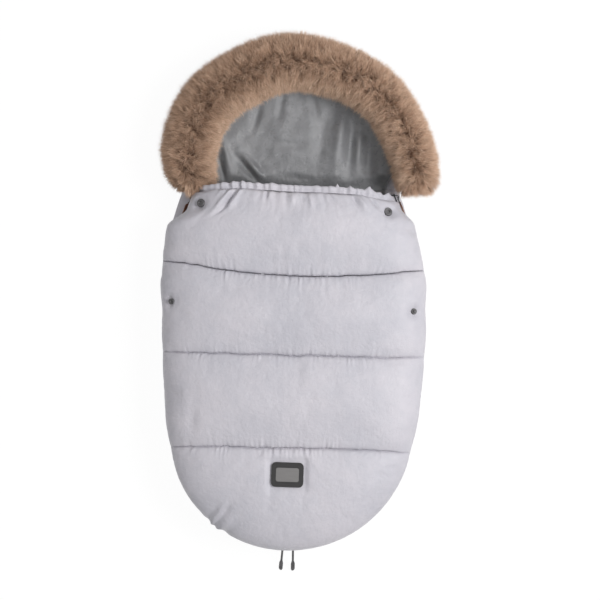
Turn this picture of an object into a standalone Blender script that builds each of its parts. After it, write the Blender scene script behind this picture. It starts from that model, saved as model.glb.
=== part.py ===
"""Stroller footmuff, lying on its back: a quilted cover over a padded tub, with a fur-trimmed hood.

Metres. +Z is the front of the footmuff, +Y runs to its head end and -Y to its toe. The flat back rests
at Z = 0. The cover unzips round the sides and the toe, its top channel folds down as a flap, and snaps
hold that flap. Every size below is written once; places are worked out from these.
"""

import math

import bmesh
import bpy
from mathutils import Matrix, Vector

# General clearances
GAP = 0.0003  # what two seated pieces keep between them
TINY = 1e-9  # below this a length counts as none
WELD = 1e-6  # points nearer than this are one
OVERRUN = 0.012  # how far a cutter runs past the faces that it cuts
PROBE = 0.0005  # step used to find a surface's normal

# Zip line, the outline that the bag is built on
HALF_WIDTH = 0.227
WIDEST_Y = -0.080
SIDE_RADIUS = 0.80
TOE_Y = -0.4346
NECK_Y = 0.198

# Back: a padded tub
RIM_Z = 0.032
TUB_THICKNESS = 0.012
TUB_LINING_THICKNESS = 0.004
TUB_CORNER = 0.030
LEFT_NECK_BULGE = 0.034  # of the tub's padding beside the neck
RIGHT_NECK_BULGE = 0.018
NECK_BULGE_LENGTH = 0.15
NECK_BULGE_RISE_SHARE = 0.54  # of that length, over which it swells
TUB_FLOOR_SHARE = 0.84

# Cover: one quilted dome from the toe to the hem
COVER_EDGE_Z = 0.048
EQUATOR_Z = 0.085
CREST_Z = 0.150
COVER_POWER = 3.5
OVERHANG = 0.0255  # of the cover past the zip line, where it is fullest
TOE_SWAY = 0.008
VALLEY_DEPTH = 0.014
SEAM_THICKNESS = 0.012
COVER_LINING_THICKNESS = 0.004
CROWN_SHARE = 0.80  # share of the reach that the crown takes in the flat pattern
CROWN_REACH_SHARE = 0.86  # share of the reach where the crown ends
EDGE_SHARE = 0.82  # from here out the quilting fades into the sides
EDGE_FADE_SHARE = 0.10  # of the reach, over which it fades
UNDERCUT_TURN = math.radians(128)
TOE_PUFF_LENGTH = 0.085
PUFF_FULLNESS = 0.42  # exponent of a channel's round, lower is fuller
JOIN_GAP = 0.0006  # between the flap and the cover along their seam

# Seams across the cover, each as (Y at the middle, tilt to the right, bow at the sides)
HEM = (0.200, -0.013, -0.014)
SEAM_1 = (0.0420, -0.0098, 0.0230)
SEAM_2 = (-0.0965, -0.0058, 0.0007)
SEAM_3 = (-0.2555, -0.0058, -0.0047)
NECK = (NECK_Y, 0.0, 0.0)

# Hem: a casing with its elastic
CASING_WIDTH = 0.016
CASING_THICKNESS = 0.0075
ELASTIC_WIDTH = 0.009
ELASTIC_THICKNESS = 0.0015

# Hood
HOOD_HALF = 0.206
HOOD_LENGTH = 0.226
HOOD_POWER = 2.2
HOOD_SWAY = 0.010
SWAY_LENGTH = 0.06
HOOD_LEAN_SHARE = 0.045
HOOD_FLAT_SHARE = 0.015
HOOD_RIM_Z = 0.057
HOOD_THICKNESS = 0.010
HOOD_LINING_THICKNESS = 0.004
HOOD_CORNER = 0.046
HOOD_FLOOR_SHARE = 0.76

# Fur trim round the hood's mouth
FUR_HALF = 0.205
FUR_LENGTH = 0.2225
FUR_CENTRE_X = 0.0133
FUR_ROLL_WIDTH = 0.076
FUR_ROLL_HEIGHT = 0.080
FUR_ROLL_POWER = 0.8  # exponent of the roll's round, lower is fuller
FUR_END_SHARE = 0.8  # of the roll's width, at its two ends
FUR_END_STEPS = 3  # steps of the path over which an end narrows
FUR_BACKING_WIDTH = 0.052
FUR_BACKING_THICKNESS = 0.003
FUR_END_Y = 0.2045  # clear of the hem as the cover swings open
FLAP_CLEAR_HALF = 0.1905  # inside this width the fur stops short, so that the flap can fold
FLAP_CLEAR_Y = 0.236

# Zips
ZIP_NECK_Y = 0.181
TAPE_INSET = 0.003
TAPE_THICKNESS = 0.0012
BEAD_RADIUS = 0.0011
BEAD_GAP = 0.0022
ZIP_Z = 0.040
ZIP_STEP = 0.045  # between two points of a zip's path on its side arc
BEAD_START = math.radians(-58)
BEAD_END = math.radians(238)
ZIP_END_GAP = 0.0015  # between the left and the right chain at the toe, to each side
TOE_MEET_X = -0.0112  # where the left and the right zip meet at the toe
FLAP_ZIP_GAP = 0.002  # between the flap's zip end and the cover's, to each side

# Zip sliders
SLIDER_LENGTH = 0.016
SLIDER_WIDTH = 0.011
SLIDER_OPENING = 0.0036
PLATE_THICKNESS = 0.0014
POST_WIDTH = 0.0016
POST_LENGTH = 0.004
SLIDER_BEVEL = 0.0005
BAIL_HALF = 0.0046
BAIL_HEIGHT = 0.0064
WIRE_RADIUS = 0.0008
PULL_SEAT = 0.0035  # height of a pull's bar above the slider's plate
TOP_SLIDER_Y = 0.1835
TOE_SLIDER_GAP = 0.0015  # between the two toe sliders at rest

# Zip pulls
LINK_LENGTH = 0.0125
LINK_WIDTH = 0.0082
EYE_RADIUS = 0.0025
EYE_WIDTH = 0.0038
LEATHER_WIDTH = 0.0125
LEATHER_LENGTH = 0.028
LEATHER_THICKNESS = 0.0022
LEATHER_CORNER = 0.0052
LEFT_LEATHER_ROLL = math.radians(36)
RIGHT_LEATHER_ROLL = math.radians(76)
TOE_TAG_LENGTH = 0.052
TOE_TAG_NECK = 0.0034
TOE_TAG_WIDTH = 0.0072
TOE_TAG_THICKNESS = 0.0018
TOE_TAG_NECK_SHARE = 0.55
TOE_PULL_DROOP = math.radians(33)
TOE_TAG_ROLL = math.radians(60)

# Snaps: (X, Y) in the flat pattern, as shares of the half width and real Y
SNAP_RADIUS = 0.0075
SNAP_HEIGHT = 0.0022
SOCKET_HOLE_RADIUS = 0.0030
STUD_RADIUS = 0.0054
STUD_KNOB_RADIUS = 0.0026
STUD_KNOB_HEIGHT = 0.0030
SNAP_BACK_RADIUS = 0.0070
SNAP_BACK_HEIGHT = 0.0016
SNAP_STEM_RADIUS = 0.0017
SNAP_POCKET = 0.0014
SNAP_GRIP = 0.0060  # quilt left between a snap and its back
LEFT_SOCKET = (-0.803, 0.1703)
RIGHT_SOCKET = (0.793, 0.1550)
LEFT_STUD = (-0.824, -0.0025)
RIGHT_STUD = (0.818, -0.0200)

# Badge on the toe
BADGE_X = -0.0095
BADGE_Y = -0.2960
BADGE_WIDTH = 0.056
BADGE_LENGTH = 0.043
BADGE_THICKNESS = 0.0024
BADGE_CORNER = 0.008
BADGE_PLATE_WIDTH = 0.040
BADGE_PLATE_LENGTH = 0.024
BADGE_PLATE_THICKNESS = 0.0012
BADGE_PLATE_CORNER = 0.0035
BADGE_SINK = 0.0032

# Harness slots through the back
SHOULDER_SLOT_LENGTH = 0.130
SHOULDER_SLOT_X = 0.060
SHOULDER_SLOT_Y = 0.105
CROTCH_SLOT_LENGTH = 0.060
CROTCH_SLOT_Y = -0.120
SLOT_WIDTH = 0.015
SLOT_ROUND_SHARE = 0.98  # of a slot's half width, taken by the round of its ends
BINDING_THICKNESS = 0.0016
BINDING_PROUD = 0.0008

# Fullness of the cover's sides: the share from the neck to the toe, then the left and the right side's
# shares of the overhang
SIDE_SHARES = (
    (0.0, 0.0, 0.0),
    (0.063, 0.16, 0.12),
    (0.111, 1.0, 0.59),
    (0.171, 0.88, 0.53),
    (0.250, 0.69, 0.57),
    (0.360, 0.30, 0.24),
    (0.566, 0.22, 0.10),
    (0.677, 0.38, 0.20),
    (1.0, 0.38, 0.20),
)

# Mesh fineness
FUR_STEPS = 26
FUR_SECTION_STEPS = 9
ZIP_TOE_STEPS = 9
BEAD_STEPS = 6
BAIL_STEPS = 8
CORNER_STEPS = 4
BADGE_CORNER_STEPS = 5
SLOT_END_STEPS = 6
TURN_STEPS = 16
EYE_TURN_STEPS = 12
SHARP_ANGLE = math.radians(38)
SIDE_COLUMN_SHARES = (0.0, 0.2, 0.4, 0.58, 0.72, 0.8, 0.86, 0.91, 0.955, 1.0)
PUFF_ROW_SHARES = (0.0, 0.035, 0.13, 0.3, 0.5, 0.7, 0.87, 0.965, 1.0)
TOE_ROW_SHARES = (0.0, 0.04, 0.13, 0.27, 0.43, 0.6, 0.74, 0.84, 0.92, 1.0)
TUB_COLUMN_SHARES = (0.0, 0.42, 0.84, 0.89, 0.94, 0.975, 1.0)
TUB_ROW_SHARES = (0.0, 0.5, 1.0)
TUB_NECK_ROW_SHARES = (0.0, 0.2, 0.38, 0.5, 0.62, 0.75, 0.88, 1.0)
STRIP_ROW_SHARES = (0.0, 0.5, 1.0)
TUB_TOE_ROW_SHARES = (0.0, 0.3, 0.6, 0.8, 0.9, 0.96, 1.0)
HOOD_COLUMN_SHARES = (0.0, 0.38, 0.76, 0.83, 0.89, 0.95, 1.0)
HOOD_ROW_SHARES = (0.0, 0.2, 0.45, 0.68, 0.8, 0.88, 0.94, 1.0)

# Worked out from the sizes above
TOE_DROP = WIDEST_Y - TOE_Y
TOE_RADIUS = (SIDE_RADIUS**2 - (SIDE_RADIUS - HALF_WIDTH) ** 2 - TOE_DROP**2) / (
    2 * (SIDE_RADIUS - TOE_DROP)
)
TOE_CENTRE_Y = TOE_Y + TOE_RADIUS
TOE_SLIDER_ANGLE = (SLIDER_LENGTH + TOE_SLIDER_GAP) / 2 / TOE_RADIUS  # from the toe's middle
SIDE_CENTRE_X = SIDE_RADIUS - HALF_WIDTH  # of the left side's arc; the right side's is mirrored
QUARTER = math.pi / 2
BACK_BEAD_Z = ZIP_Z - BEAD_GAP / 2 - BEAD_RADIUS
COVER_BEAD_Z = ZIP_Z + BEAD_GAP / 2 + BEAD_RADIUS

COLOURS = {
    "pearl_quilt": ((0.58, 0.56, 0.61), 0.62, 0.0),
    "grey_lining": ((0.24, 0.24, 0.25), 0.85, 0.0),
    "brown_fur": ((0.26, 0.18, 0.13), 0.95, 0.0),
    "fur_backing": ((0.20, 0.15, 0.12), 0.95, 0.0),
    "zip_tape": ((0.50, 0.48, 0.53), 0.75, 0.0),
    "gunmetal": ((0.22, 0.21, 0.22), 0.30, 1.0),
    "brown_leather": ((0.30, 0.14, 0.07), 0.50, 0.0),
    "dark_rubber": ((0.05, 0.05, 0.052), 0.60, 0.0),
    "brushed_plate": ((0.55, 0.53, 0.52), 0.32, 1.0),
    "white_elastic": ((0.70, 0.69, 0.68), 0.80, 0.0),
}


def clear_scene():
    """Removes whatever the scene holds."""
    for thing in list(bpy.data.objects):
        bpy.data.objects.remove(thing, do_unlink=True)


def new_collection(name):
    """Makes a collection under the scene's own and returns it."""
    collection = bpy.data.collections.new(name)
    bpy.context.scene.collection.children.link(collection)
    return collection


def finish_material(name):
    """Returns the material of this name, made on first use."""
    if name in bpy.data.materials:
        return bpy.data.materials[name]
    colour, roughness, metallic = COLOURS[name]
    material = bpy.data.materials.new(name)
    material.use_nodes = True
    shader = material.node_tree.nodes["Principled BSDF"]
    shader.inputs["Base Color"].default_value = (*colour, 1)
    shader.inputs["Roughness"].default_value = roughness
    shader.inputs["Metallic"].default_value = metallic
    return material


def own_material(obj, finish):
    """Gives an object its own copy of a finish."""
    material = finish_material(finish).copy()
    material.name = obj.name + "_finish"
    obj.data.materials.clear()
    obj.data.materials.append(material)


def add_object(name, data, finish, smooth=True):
    """Links mesh or curve data as one sub-part with its own material."""
    obj = bpy.data.objects.new(name, data)
    PARTS.objects.link(obj)
    own_material(obj, finish)
    if smooth and obj.type == "MESH":
        data.shade_smooth()
        data.set_sharp_from_angle(angle=SHARP_ANGLE)
    return obj


def mesh_from(bm, name):
    """Turns a bmesh into mesh data with its faces outwards, and frees it."""
    bmesh.ops.recalc_face_normals(bm, faces=bm.faces[:])
    if bm.calc_volume(signed=True) < 0:
        bmesh.ops.reverse_faces(bm, faces=bm.faces[:])
    mesh = bpy.data.meshes.new(name)
    bm.to_mesh(mesh)
    bm.free()
    return mesh


def as_cutter(obj):
    """Moves an object into the cutters' collection and hides it."""
    for collection in list(obj.users_collection):
        collection.objects.unlink(obj)
    CUTTERS.objects.link(obj)
    obj.hide_render = True
    obj.display_type = "WIRE"
    return obj


def cut(obj, cutter, operation="DIFFERENCE"):
    """Adds a Boolean to an object. A cutter that is joined stays in the cutters' collection too."""
    modifier = obj.modifiers.new(cutter.name, "BOOLEAN")
    modifier.operation = operation
    modifier.object = cutter
    modifier.solver = "EXACT"
    return modifier


def lerp(a, b, t):
    """Point between two values or vectors."""
    return a + (b - a) * t


def smooth(t):
    """Rises from 0 to 1 with level ends."""
    t = min(max(t, 0.0), 1.0)
    return t * t * (3 - 2 * t)


def mirrored(shares):
    """Shares from the middle out, as a full row from -1 to 1."""
    return [-share for share in reversed(shares[1:])] + list(shares)


# Flat pattern of the bag


def half_at(y):
    """Half width of the zip line at a height on its side arcs."""
    return math.sqrt(SIDE_RADIUS**2 - (y - WIDEST_Y) ** 2) - SIDE_CENTRE_X


def toe_reach(angle):
    """Distance from the toe's centre to the zip line, in a direction given from -Y round to the side."""
    centre = Vector((-SIDE_CENTRE_X, WIDEST_Y - TOE_CENTRE_Y))
    along = Vector((math.sin(abs(angle)), -math.cos(angle)))
    if along.y / max(along.x, TINY) < centre.y / centre.x:
        return TOE_RADIUS
    middle = along.dot(centre)
    return middle + math.sqrt(middle**2 - centre.length_squared + SIDE_RADIUS**2)


def seam_at(seam, u):
    """Y of a seam at a share of the half width."""
    return seam[0] + seam[1] * u + seam[2] * u * u


def straight_point(upper, lower, u, v):
    """Flat place between two seams: u across from -1 to 1, v from the upper to the lower."""
    y = lerp(seam_at(upper, u), seam_at(lower, u), v)
    return Vector((u * half_at(y), y))


def toe_outline(angle):
    """Point of the zip line at an angle from -Y about the toe's centre, positive to the right."""
    reach = toe_reach(angle)
    return Vector((reach * math.sin(angle), TOE_CENTRE_Y - reach * math.cos(angle)))


def patch_point(near, far, left, right, u, v):
    """Point inside four edge curves that meet at their corners."""
    s = (u + 1) / 2
    along = lerp(near(u), far(u), v)
    across = lerp(left(v), right(v), s)
    corners = lerp(lerp(near(-1), near(1), s), lerp(far(-1), far(1), s), v)
    return along + across - corners


def toe_point(seam, u, v):
    """Flat place in the toe patch, below a seam."""
    start = {}
    for side in (-1, 1):
        corner = straight_point(seam, seam, side, 0)
        start[side] = math.atan2(corner.x, TOE_CENTRE_Y - corner.y)
    turn = QUARTER / 2
    return patch_point(
        lambda s: straight_point(seam, seam, s, 0),
        lambda s: toe_outline(s * turn),
        lambda t: toe_outline(lerp(start[-1], -turn, t)),
        lambda t: toe_outline(lerp(start[1], turn, t)),
        u,
        v,
    )


def radial(x, y):
    """Foot of a flat place on the bag's spine, the direction out, the reach of the zip line and the share."""
    foot = Vector((0, max(y, TOE_CENTRE_Y)))
    away = Vector((x, y)) - foot
    if away.length < TINY:
        return foot, Vector((1, 0)), TOE_RADIUS, 0.0
    out = away.normalized()
    if y >= TOE_CENTRE_Y:
        reach = half_at(y)
    else:
        reach = toe_reach(math.atan2(out.x, -out.y))
    return foot, out, reach, away.length / reach


# Surfaces of the bag, each a function of the flat place


def tub_surface(x, y, depth):
    """The tub at a depth inside its outer skin."""
    foot, out, reach, share = radial(x, y)
    rise_length = NECK_BULGE_LENGTH * NECK_BULGE_RISE_SHARE
    bulge = LEFT_NECK_BULGE if x < 0 else RIGHT_NECK_BULGE
    bulge *= smooth((y - NECK_Y + NECK_BULGE_LENGTH) / rise_length) if depth == 0 else 0
    floor_reach = reach - depth - TUB_CORNER
    if share <= TUB_FLOOR_SHARE:
        radius = floor_reach * share / TUB_FLOOR_SHARE
        z = depth
    else:
        rise = (share - TUB_FLOOR_SHARE) / (1 - TUB_FLOOR_SHARE) * QUARTER
        radius = floor_reach + TUB_CORNER * math.sin(rise) + bulge * math.sin(2 * rise)
        z = lerp(RIM_Z, depth, math.cos(rise))
    flat = foot + out * radius
    return Vector((flat.x, flat.y, z))


def puff(t):
    """How full a channel is, from 0 at its seams to 1 at its crest; t runs from 0 to 1 across it."""
    return max(0.0, 1 - (2 * t - 1) ** 2) ** PUFF_FULLNESS


def toe_puff(y, seam, u):
    """How full the toe is below its seam."""
    t = min(1.0, (seam_at(seam, u) - y) / TOE_PUFF_LENGTH)
    return puff(t / 2)


def overhang_at(y, side):
    """How far the cover stands out past the zip line: side runs from -1 on the left to 1 on the right."""
    t = min(1.0, max(0.0, (NECK_Y - y) / (NECK_Y - TOE_Y)))
    for (start, *near), (end, *far) in zip(SIDE_SHARES, SIDE_SHARES[1:]):
        if t <= end:
            break
    s = smooth((t - start) / (end - start))
    left, right = (lerp(a, b, s) for a, b in zip(near, far))
    return OVERHANG * lerp(left, right, (side + 1) / 2)


def cover_surface(x, y, sink, valley):
    """The cover's dome: sink counts from the crests inwards, valley is the quilting's part of it."""
    foot, out, reach, share = radial(x, y)
    overhang = overhang_at(y, out.x)
    crown_turn = math.asin(CROWN_REACH_SHARE ** (COVER_POWER / 2))
    if share <= CROWN_SHARE:
        turn = math.asin((CROWN_REACH_SHARE * share / CROWN_SHARE) ** (COVER_POWER / 2))
    else:
        turn = lerp(crown_turn, UNDERCUT_TURN, (share - CROWN_SHARE) / (1 - CROWN_SHARE))
    if turn <= QUARTER:
        radius = (reach + overhang) * math.sin(turn) ** (2 / COVER_POWER)
        z = EQUATOR_Z + (CREST_Z - EQUATOR_Z) * max(0.0, math.cos(turn)) ** (2 / COVER_POWER)
    else:
        under = (turn - QUARTER) / (UNDERCUT_TURN - QUARTER)
        radius = reach + overhang * (1 - under**2)
        z = lerp(EQUATOR_Z, COVER_EDGE_Z, under)
    sink += valley * (1 - smooth((share - EDGE_SHARE) / EDGE_FADE_SHARE))
    lean = min(turn, QUARTER)
    flat = foot + out * (radius - sink * math.sin(lean))
    sway = TOE_SWAY * smooth((WIDEST_Y - y) / TOE_DROP) * math.sin(math.pi * turn / UNDERCUT_TURN)
    return Vector((flat.x - sway, flat.y, z - sink * math.cos(lean)))


def hood_reach(angle, half, length):
    """Reach of the hood's outline at an angle from +X."""
    across = abs(math.cos(angle)) / half
    along = abs(math.sin(angle)) / length
    reach = (across**HOOD_POWER + along**HOOD_POWER) ** (-1 / HOOD_POWER)
    lean = HOOD_LEAN_SHARE * math.sin(2 * angle) + HOOD_FLAT_SHARE * abs(math.sin(2 * angle))
    return reach * (1 - lean)


def hood_outline(angle):
    """Point of the hood's outline, about the middle of the neck."""
    return hood_reach(angle, HOOD_HALF, HOOD_LENGTH) * Vector((math.cos(angle), math.sin(angle)))


def hood_point(u, v):
    """Flat place in the hood, about the middle of the neck."""
    turn = QUARTER / 2
    return patch_point(
        lambda s: Vector((s * HOOD_HALF, 0)),
        lambda s: hood_outline(QUARTER - s * turn),
        lambda t: hood_outline(math.pi - t * turn),
        lambda t: hood_outline(t * turn),
        u,
        v,
    )


def hood_surface(x, y, depth):
    """The hood's bowl at a depth inside its outer skin."""
    away = Vector((x, max(y, 0)))
    angle = math.atan2(away.y, away.x)
    reach = hood_reach(angle, HOOD_HALF, HOOD_LENGTH)
    share = away.length / reach
    out = away.normalized() if away.length > TINY else Vector((1, 0))
    floor_reach = reach - depth - HOOD_CORNER
    if share <= HOOD_FLOOR_SHARE:
        radius = floor_reach * share / HOOD_FLOOR_SHARE
        z = depth
    else:
        rise = (share - HOOD_FLOOR_SHARE) / (1 - HOOD_FLOOR_SHARE) * QUARTER
        radius = floor_reach + HOOD_CORNER * math.sin(rise)
        z = lerp(HOOD_RIM_Z, depth, math.cos(rise))
    flat = out * radius
    sway = HOOD_SWAY * smooth(flat.y / SWAY_LENGTH)
    return Vector((flat.x + sway, flat.y + NECK_Y + GAP, z))


# Pads: a grid that is extruded, then bent by an outer and an inner surface


def pad(name, columns, places, outer, inner, finish):
    """A closed padded panel.

    columns are the shares across, places a list of functions of u, one for each row, that give a flat
    place and its fullness. outer and inner turn those into points.
    """
    bm = bmesh.new()
    bmesh.ops.create_grid(bm, x_segments=len(columns) - 1, y_segments=len(places) - 1, size=1)
    right = [face for face in bm.faces if face.calc_center_median().x > 0]
    bmesh.ops.triangulate(bm, faces=right, quad_method="ALTERNATE")
    left = [face for face in bm.faces if len(face.verts) > 3]
    bmesh.ops.triangulate(bm, faces=left, quad_method="FIXED")
    column = bm.verts.layers.int.new("column")
    row = bm.verts.layers.int.new("row")
    for vert in bm.verts:
        vert[column] = round((vert.co.x + 1) / 2 * (len(columns) - 1))
        vert[row] = round((vert.co.y + 1) / 2 * (len(places) - 1))
    made = bmesh.ops.extrude_face_region(bm, geom=bm.faces[:])["geom"]
    raised = {item for item in made if isinstance(item, bmesh.types.BMVert)}
    for vert in bm.verts:
        flat, fullness = places[vert[row]](columns[vert[column]])
        surface = outer if vert in raised else inner
        vert.co = surface(flat.x, flat.y, fullness)
    return add_object(name, mesh_from(bm, name), finish)


def channel_rows(upper, lower, shares, top_gap=0.0, bottom_gap=0.0):
    """Rows of one channel between two seams."""

    def row(share):
        def place(u):
            flat = straight_point(upper, lower, u, share)
            if share == 0:
                flat.y -= top_gap
            if share == 1:
                flat.y += bottom_gap
            flat.x = u * half_at(flat.y)
            return flat, puff(share)

        return place

    return [row(share) for share in shares]


def toe_rows(seam, shares, filled):
    """Rows of the toe patch below a seam."""

    def row(share):
        def place(u):
            flat = toe_point(seam, u, share)
            return flat, toe_puff(flat.y, seam, u) if filled else 0.0

        return place

    return [row(share) for share in shares]


def quilt_outer(x, y, fullness):
    """Outer skin of the quilt."""
    return cover_surface(x, y, 0.0, VALLEY_DEPTH * (1 - fullness))


def quilt_inner(x, y, fullness):
    """Inner skin of the quilt, smooth under the channels."""
    return cover_surface(x, y, SEAM_THICKNESS, VALLEY_DEPTH)


def cover_lining_outer(x, y, fullness):
    """Side of the cover's lining that meets the quilt."""
    return cover_surface(x, y, SEAM_THICKNESS + GAP, VALLEY_DEPTH)


def cover_lining_inner(x, y, fullness):
    """Side of the cover's lining that faces the child."""
    return cover_surface(x, y, SEAM_THICKNESS + GAP + COVER_LINING_THICKNESS, VALLEY_DEPTH)


def build_cover():
    """Quilt and lining of the cover, from the first seam to the toe."""
    columns = mirrored(SIDE_COLUMN_SHARES)
    rows = channel_rows(SEAM_1, SEAM_2, PUFF_ROW_SHARES, top_gap=JOIN_GAP / 2)
    rows += channel_rows(SEAM_2, SEAM_3, PUFF_ROW_SHARES)[1:]
    rows += toe_rows(SEAM_3, TOE_ROW_SHARES, True)[1:]
    pad("cover_lining", columns, rows, cover_lining_outer, cover_lining_inner, "grey_lining")
    return pad("cover_quilt", columns, rows, quilt_outer, quilt_inner, "pearl_quilt")


def hem_seam():
    """The seam between the flap's channel and the hem's casing."""
    return (HEM[0] - CASING_WIDTH, HEM[1], HEM[2])


def build_flap():
    """Quilt and lining of the flap, its hem casing and the elastic inside."""
    columns = mirrored(SIDE_COLUMN_SHARES)
    rows = channel_rows(hem_seam(), SEAM_1, PUFF_ROW_SHARES, top_gap=GAP, bottom_gap=JOIN_GAP / 2)
    quilt = pad("flap_quilt", columns, rows, quilt_outer, quilt_inner, "pearl_quilt")
    pad("flap_lining", columns, rows, cover_lining_outer, cover_lining_inner, "grey_lining")

    def strip(width, thickness):
        """Rows and skins of a strip along the middle of the casing."""
        middle = HEM[0] - CASING_WIDTH / 2
        top = (middle + width / 2, HEM[1], HEM[2])
        low = (middle - width / 2, HEM[1], HEM[2])
        sink = SEAM_THICKNESS - CASING_THICKNESS / 2
        return (
            channel_rows(top, low, STRIP_ROW_SHARES),
            lambda x, y, full: cover_surface(x, y, sink - thickness / 2, VALLEY_DEPTH),
            lambda x, y, full: cover_surface(x, y, sink + thickness / 2, VALLEY_DEPTH),
        )

    rows, outer, inner = strip(CASING_WIDTH, CASING_THICKNESS)
    casing = pad("hem_casing", columns, rows, outer, inner, "pearl_quilt")
    rows, outer, inner = strip(ELASTIC_WIDTH, ELASTIC_THICKNESS)
    pad("hem_elastic", columns, rows, outer, inner, "white_elastic")
    rows, outer, inner = strip(ELASTIC_WIDTH + 2 * GAP, ELASTIC_THICKNESS + 2 * GAP)
    end = 1 + OVERRUN / HALF_WIDTH
    channel = pad("hem_channel_cutter", [-end, *columns, end], rows, outer, inner, "gunmetal")
    as_cutter(channel)
    cut(casing, channel)
    return quilt


def build_tub():
    """Outer shell and lining of the back, from the neck to the toe."""
    columns = mirrored(TUB_COLUMN_SHARES)
    rows = channel_rows(NECK, SEAM_2, TUB_NECK_ROW_SHARES)
    rows += channel_rows(SEAM_2, SEAM_3, TUB_ROW_SHARES)[1:]
    rows += toe_rows(SEAM_3, TUB_TOE_ROW_SHARES, False)[1:]
    outer_shell = pad(
        "back_outer",
        columns,
        rows,
        lambda x, y, full: tub_surface(x, y, 0.0),
        lambda x, y, full: tub_surface(x, y, TUB_THICKNESS),
        "pearl_quilt",
    )
    start = TUB_THICKNESS + GAP
    lining = pad(
        "back_lining",
        columns,
        rows,
        lambda x, y, full: tub_surface(x, y, start),
        lambda x, y, full: tub_surface(x, y, start + TUB_LINING_THICKNESS),
        "grey_lining",
    )
    return outer_shell, lining


def build_hood():
    """Outer shell and lining of the hood."""
    columns = mirrored(HOOD_COLUMN_SHARES)

    def row(share):
        return lambda u: (hood_point(u, share), 0.0)

    rows = [row(share) for share in HOOD_ROW_SHARES]
    pad(
        "hood_shell",
        columns,
        rows,
        lambda x, y, full: hood_surface(x, y, 0.0),
        lambda x, y, full: hood_surface(x, y, HOOD_THICKNESS),
        "pearl_quilt",
    )
    start = HOOD_THICKNESS + GAP
    pad(
        "hood_lining",
        columns,
        rows,
        lambda x, y, full: hood_surface(x, y, start),
        lambda x, y, full: hood_surface(x, y, start + HOOD_LINING_THICKNESS),
        "grey_lining",
    )


# Swept and flat pieces


def curve_object(name, splines, closed, dimensions="3D"):
    """A curve of straight-edged splines."""
    curve = bpy.data.curves.new(name, "CURVE")
    curve.dimensions = dimensions
    for points in splines:
        spline = curve.splines.new("POLY")
        spline.points.add(len(points) - 1)
        for target, point in zip(spline.points, points):
            target.co = (*point, 1) if len(point) == 3 else (*point, 0, 1)
        spline.use_cyclic_u = closed
    obj = bpy.data.objects.new(name, curve)
    PARTS.objects.link(obj)
    return obj


def evaluated_mesh(obj, matrix=None):
    """Mesh of an object with its modifiers, welded, with an optional placing, and the object removed."""
    graph = bpy.context.evaluated_depsgraph_get()
    mesh = bpy.data.meshes.new_from_object(obj.evaluated_get(graph))
    mesh.transform(obj.matrix_world if matrix is None else matrix)
    bm = bmesh.new()
    bm.from_mesh(mesh)
    bmesh.ops.remove_doubles(bm, verts=bm.verts[:], dist=WELD)
    bpy.data.objects.remove(obj, do_unlink=True)
    return mesh_from(bm, mesh.name)


def rounded_rectangle(width, length, corner, steps=CORNER_STEPS, centre=(0.0, 0.0)):
    """Outline points of a rectangle with round corners."""
    points = []
    for index, (sx, sy) in enumerate(((1, 1), (-1, 1), (-1, -1), (1, -1))):
        for step in range(steps + 1):
            angle = QUARTER * (index + step / steps)
            points.append(
                (
                    centre[0] + sx * (width / 2 - corner) + corner * math.cos(angle),
                    centre[1] + sy * (length / 2 - corner) + corner * math.sin(angle),
                )
            )
    return points


def flat_plate(name, outlines, thickness, matrix):
    """Mesh of a flat outline, with any holes, extruded to a thickness about its own plane and placed."""
    obj = curve_object(name + "_outline", outlines, True, "2D")
    obj.data.fill_mode = "BOTH"
    obj.data.extrude = thickness / 2
    bpy.context.view_layer.update()
    return evaluated_mesh(obj, matrix)


def sweep(name, path, profile, radii=None):
    """Mesh of a closed profile carried along a path that stays level."""
    section = curve_object(name + "_section", [profile], True, "2D")
    rail = curve_object(name + "_rail", [path], False)
    rail.data.twist_mode = "Z_UP"
    rail.data.bevel_mode = "OBJECT"
    rail.data.bevel_object = section
    rail.data.use_fill_caps = True
    if radii:
        for point, radius in zip(rail.data.splines[0].points, radii):
            point.radius = radius
    bpy.context.view_layer.update()
    mesh = evaluated_mesh(rail)
    bpy.data.objects.remove(section, do_unlink=True)
    return mesh


def turned(name, profile, matrix, steps=TURN_STEPS):
    """Mesh of a profile of (radius, height), from the top down its outer side, turned about Z and placed."""
    bm = bmesh.new()
    verts = [bm.verts.new((radius, 0, height)) for radius, height in profile]
    for first, second in zip(verts, verts[1:]):
        bm.edges.new((first, second))
    mesh = bpy.data.meshes.new(name)
    bm.to_mesh(mesh)
    bm.free()
    obj = bpy.data.objects.new(name + "_turned", mesh)
    PARTS.objects.link(obj)
    screw = obj.modifiers.new("turn", "SCREW")
    screw.steps = steps
    screw.render_steps = steps
    screw.use_merge_vertices = True
    screw.merge_threshold = 0.00001
    bpy.context.view_layer.update()
    return evaluated_mesh(obj, matrix)


def box_mesh(name, low, high, bevel=0.0):
    """Mesh of a box between two corners, with its edges rounded by a bevel."""
    bm = bmesh.new()
    bmesh.ops.create_cube(bm, size=1)
    low, high = Vector(low), Vector(high)
    for vert in bm.verts:
        vert.co = Vector(lerp(low[i], high[i], vert.co[i] + 1 / 2) for i in range(3))
    if bevel:
        bmesh.ops.bevel(
            bm, geom=bm.edges[:], offset=bevel, segments=1, affect="EDGES", profile=0.5, material=-1
        )
    return mesh_from(bm, name)


def union(name, meshes):
    """Mesh of several closed meshes joined into one body."""
    base = bpy.data.objects.new(name + "_base", meshes[0])
    PARTS.objects.link(base)
    helpers = []
    for index, mesh in enumerate(meshes[1:]):
        helper = bpy.data.objects.new(f"{name}_joined_{index}", mesh)
        PARTS.objects.link(helper)
        helpers.append(helper)
        cut(base, helper, "UNION")
    bpy.context.view_layer.update()
    mesh = evaluated_mesh(base)
    for helper in helpers:
        bpy.data.objects.remove(helper, do_unlink=True)
    mesh.name = name
    return mesh


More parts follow.
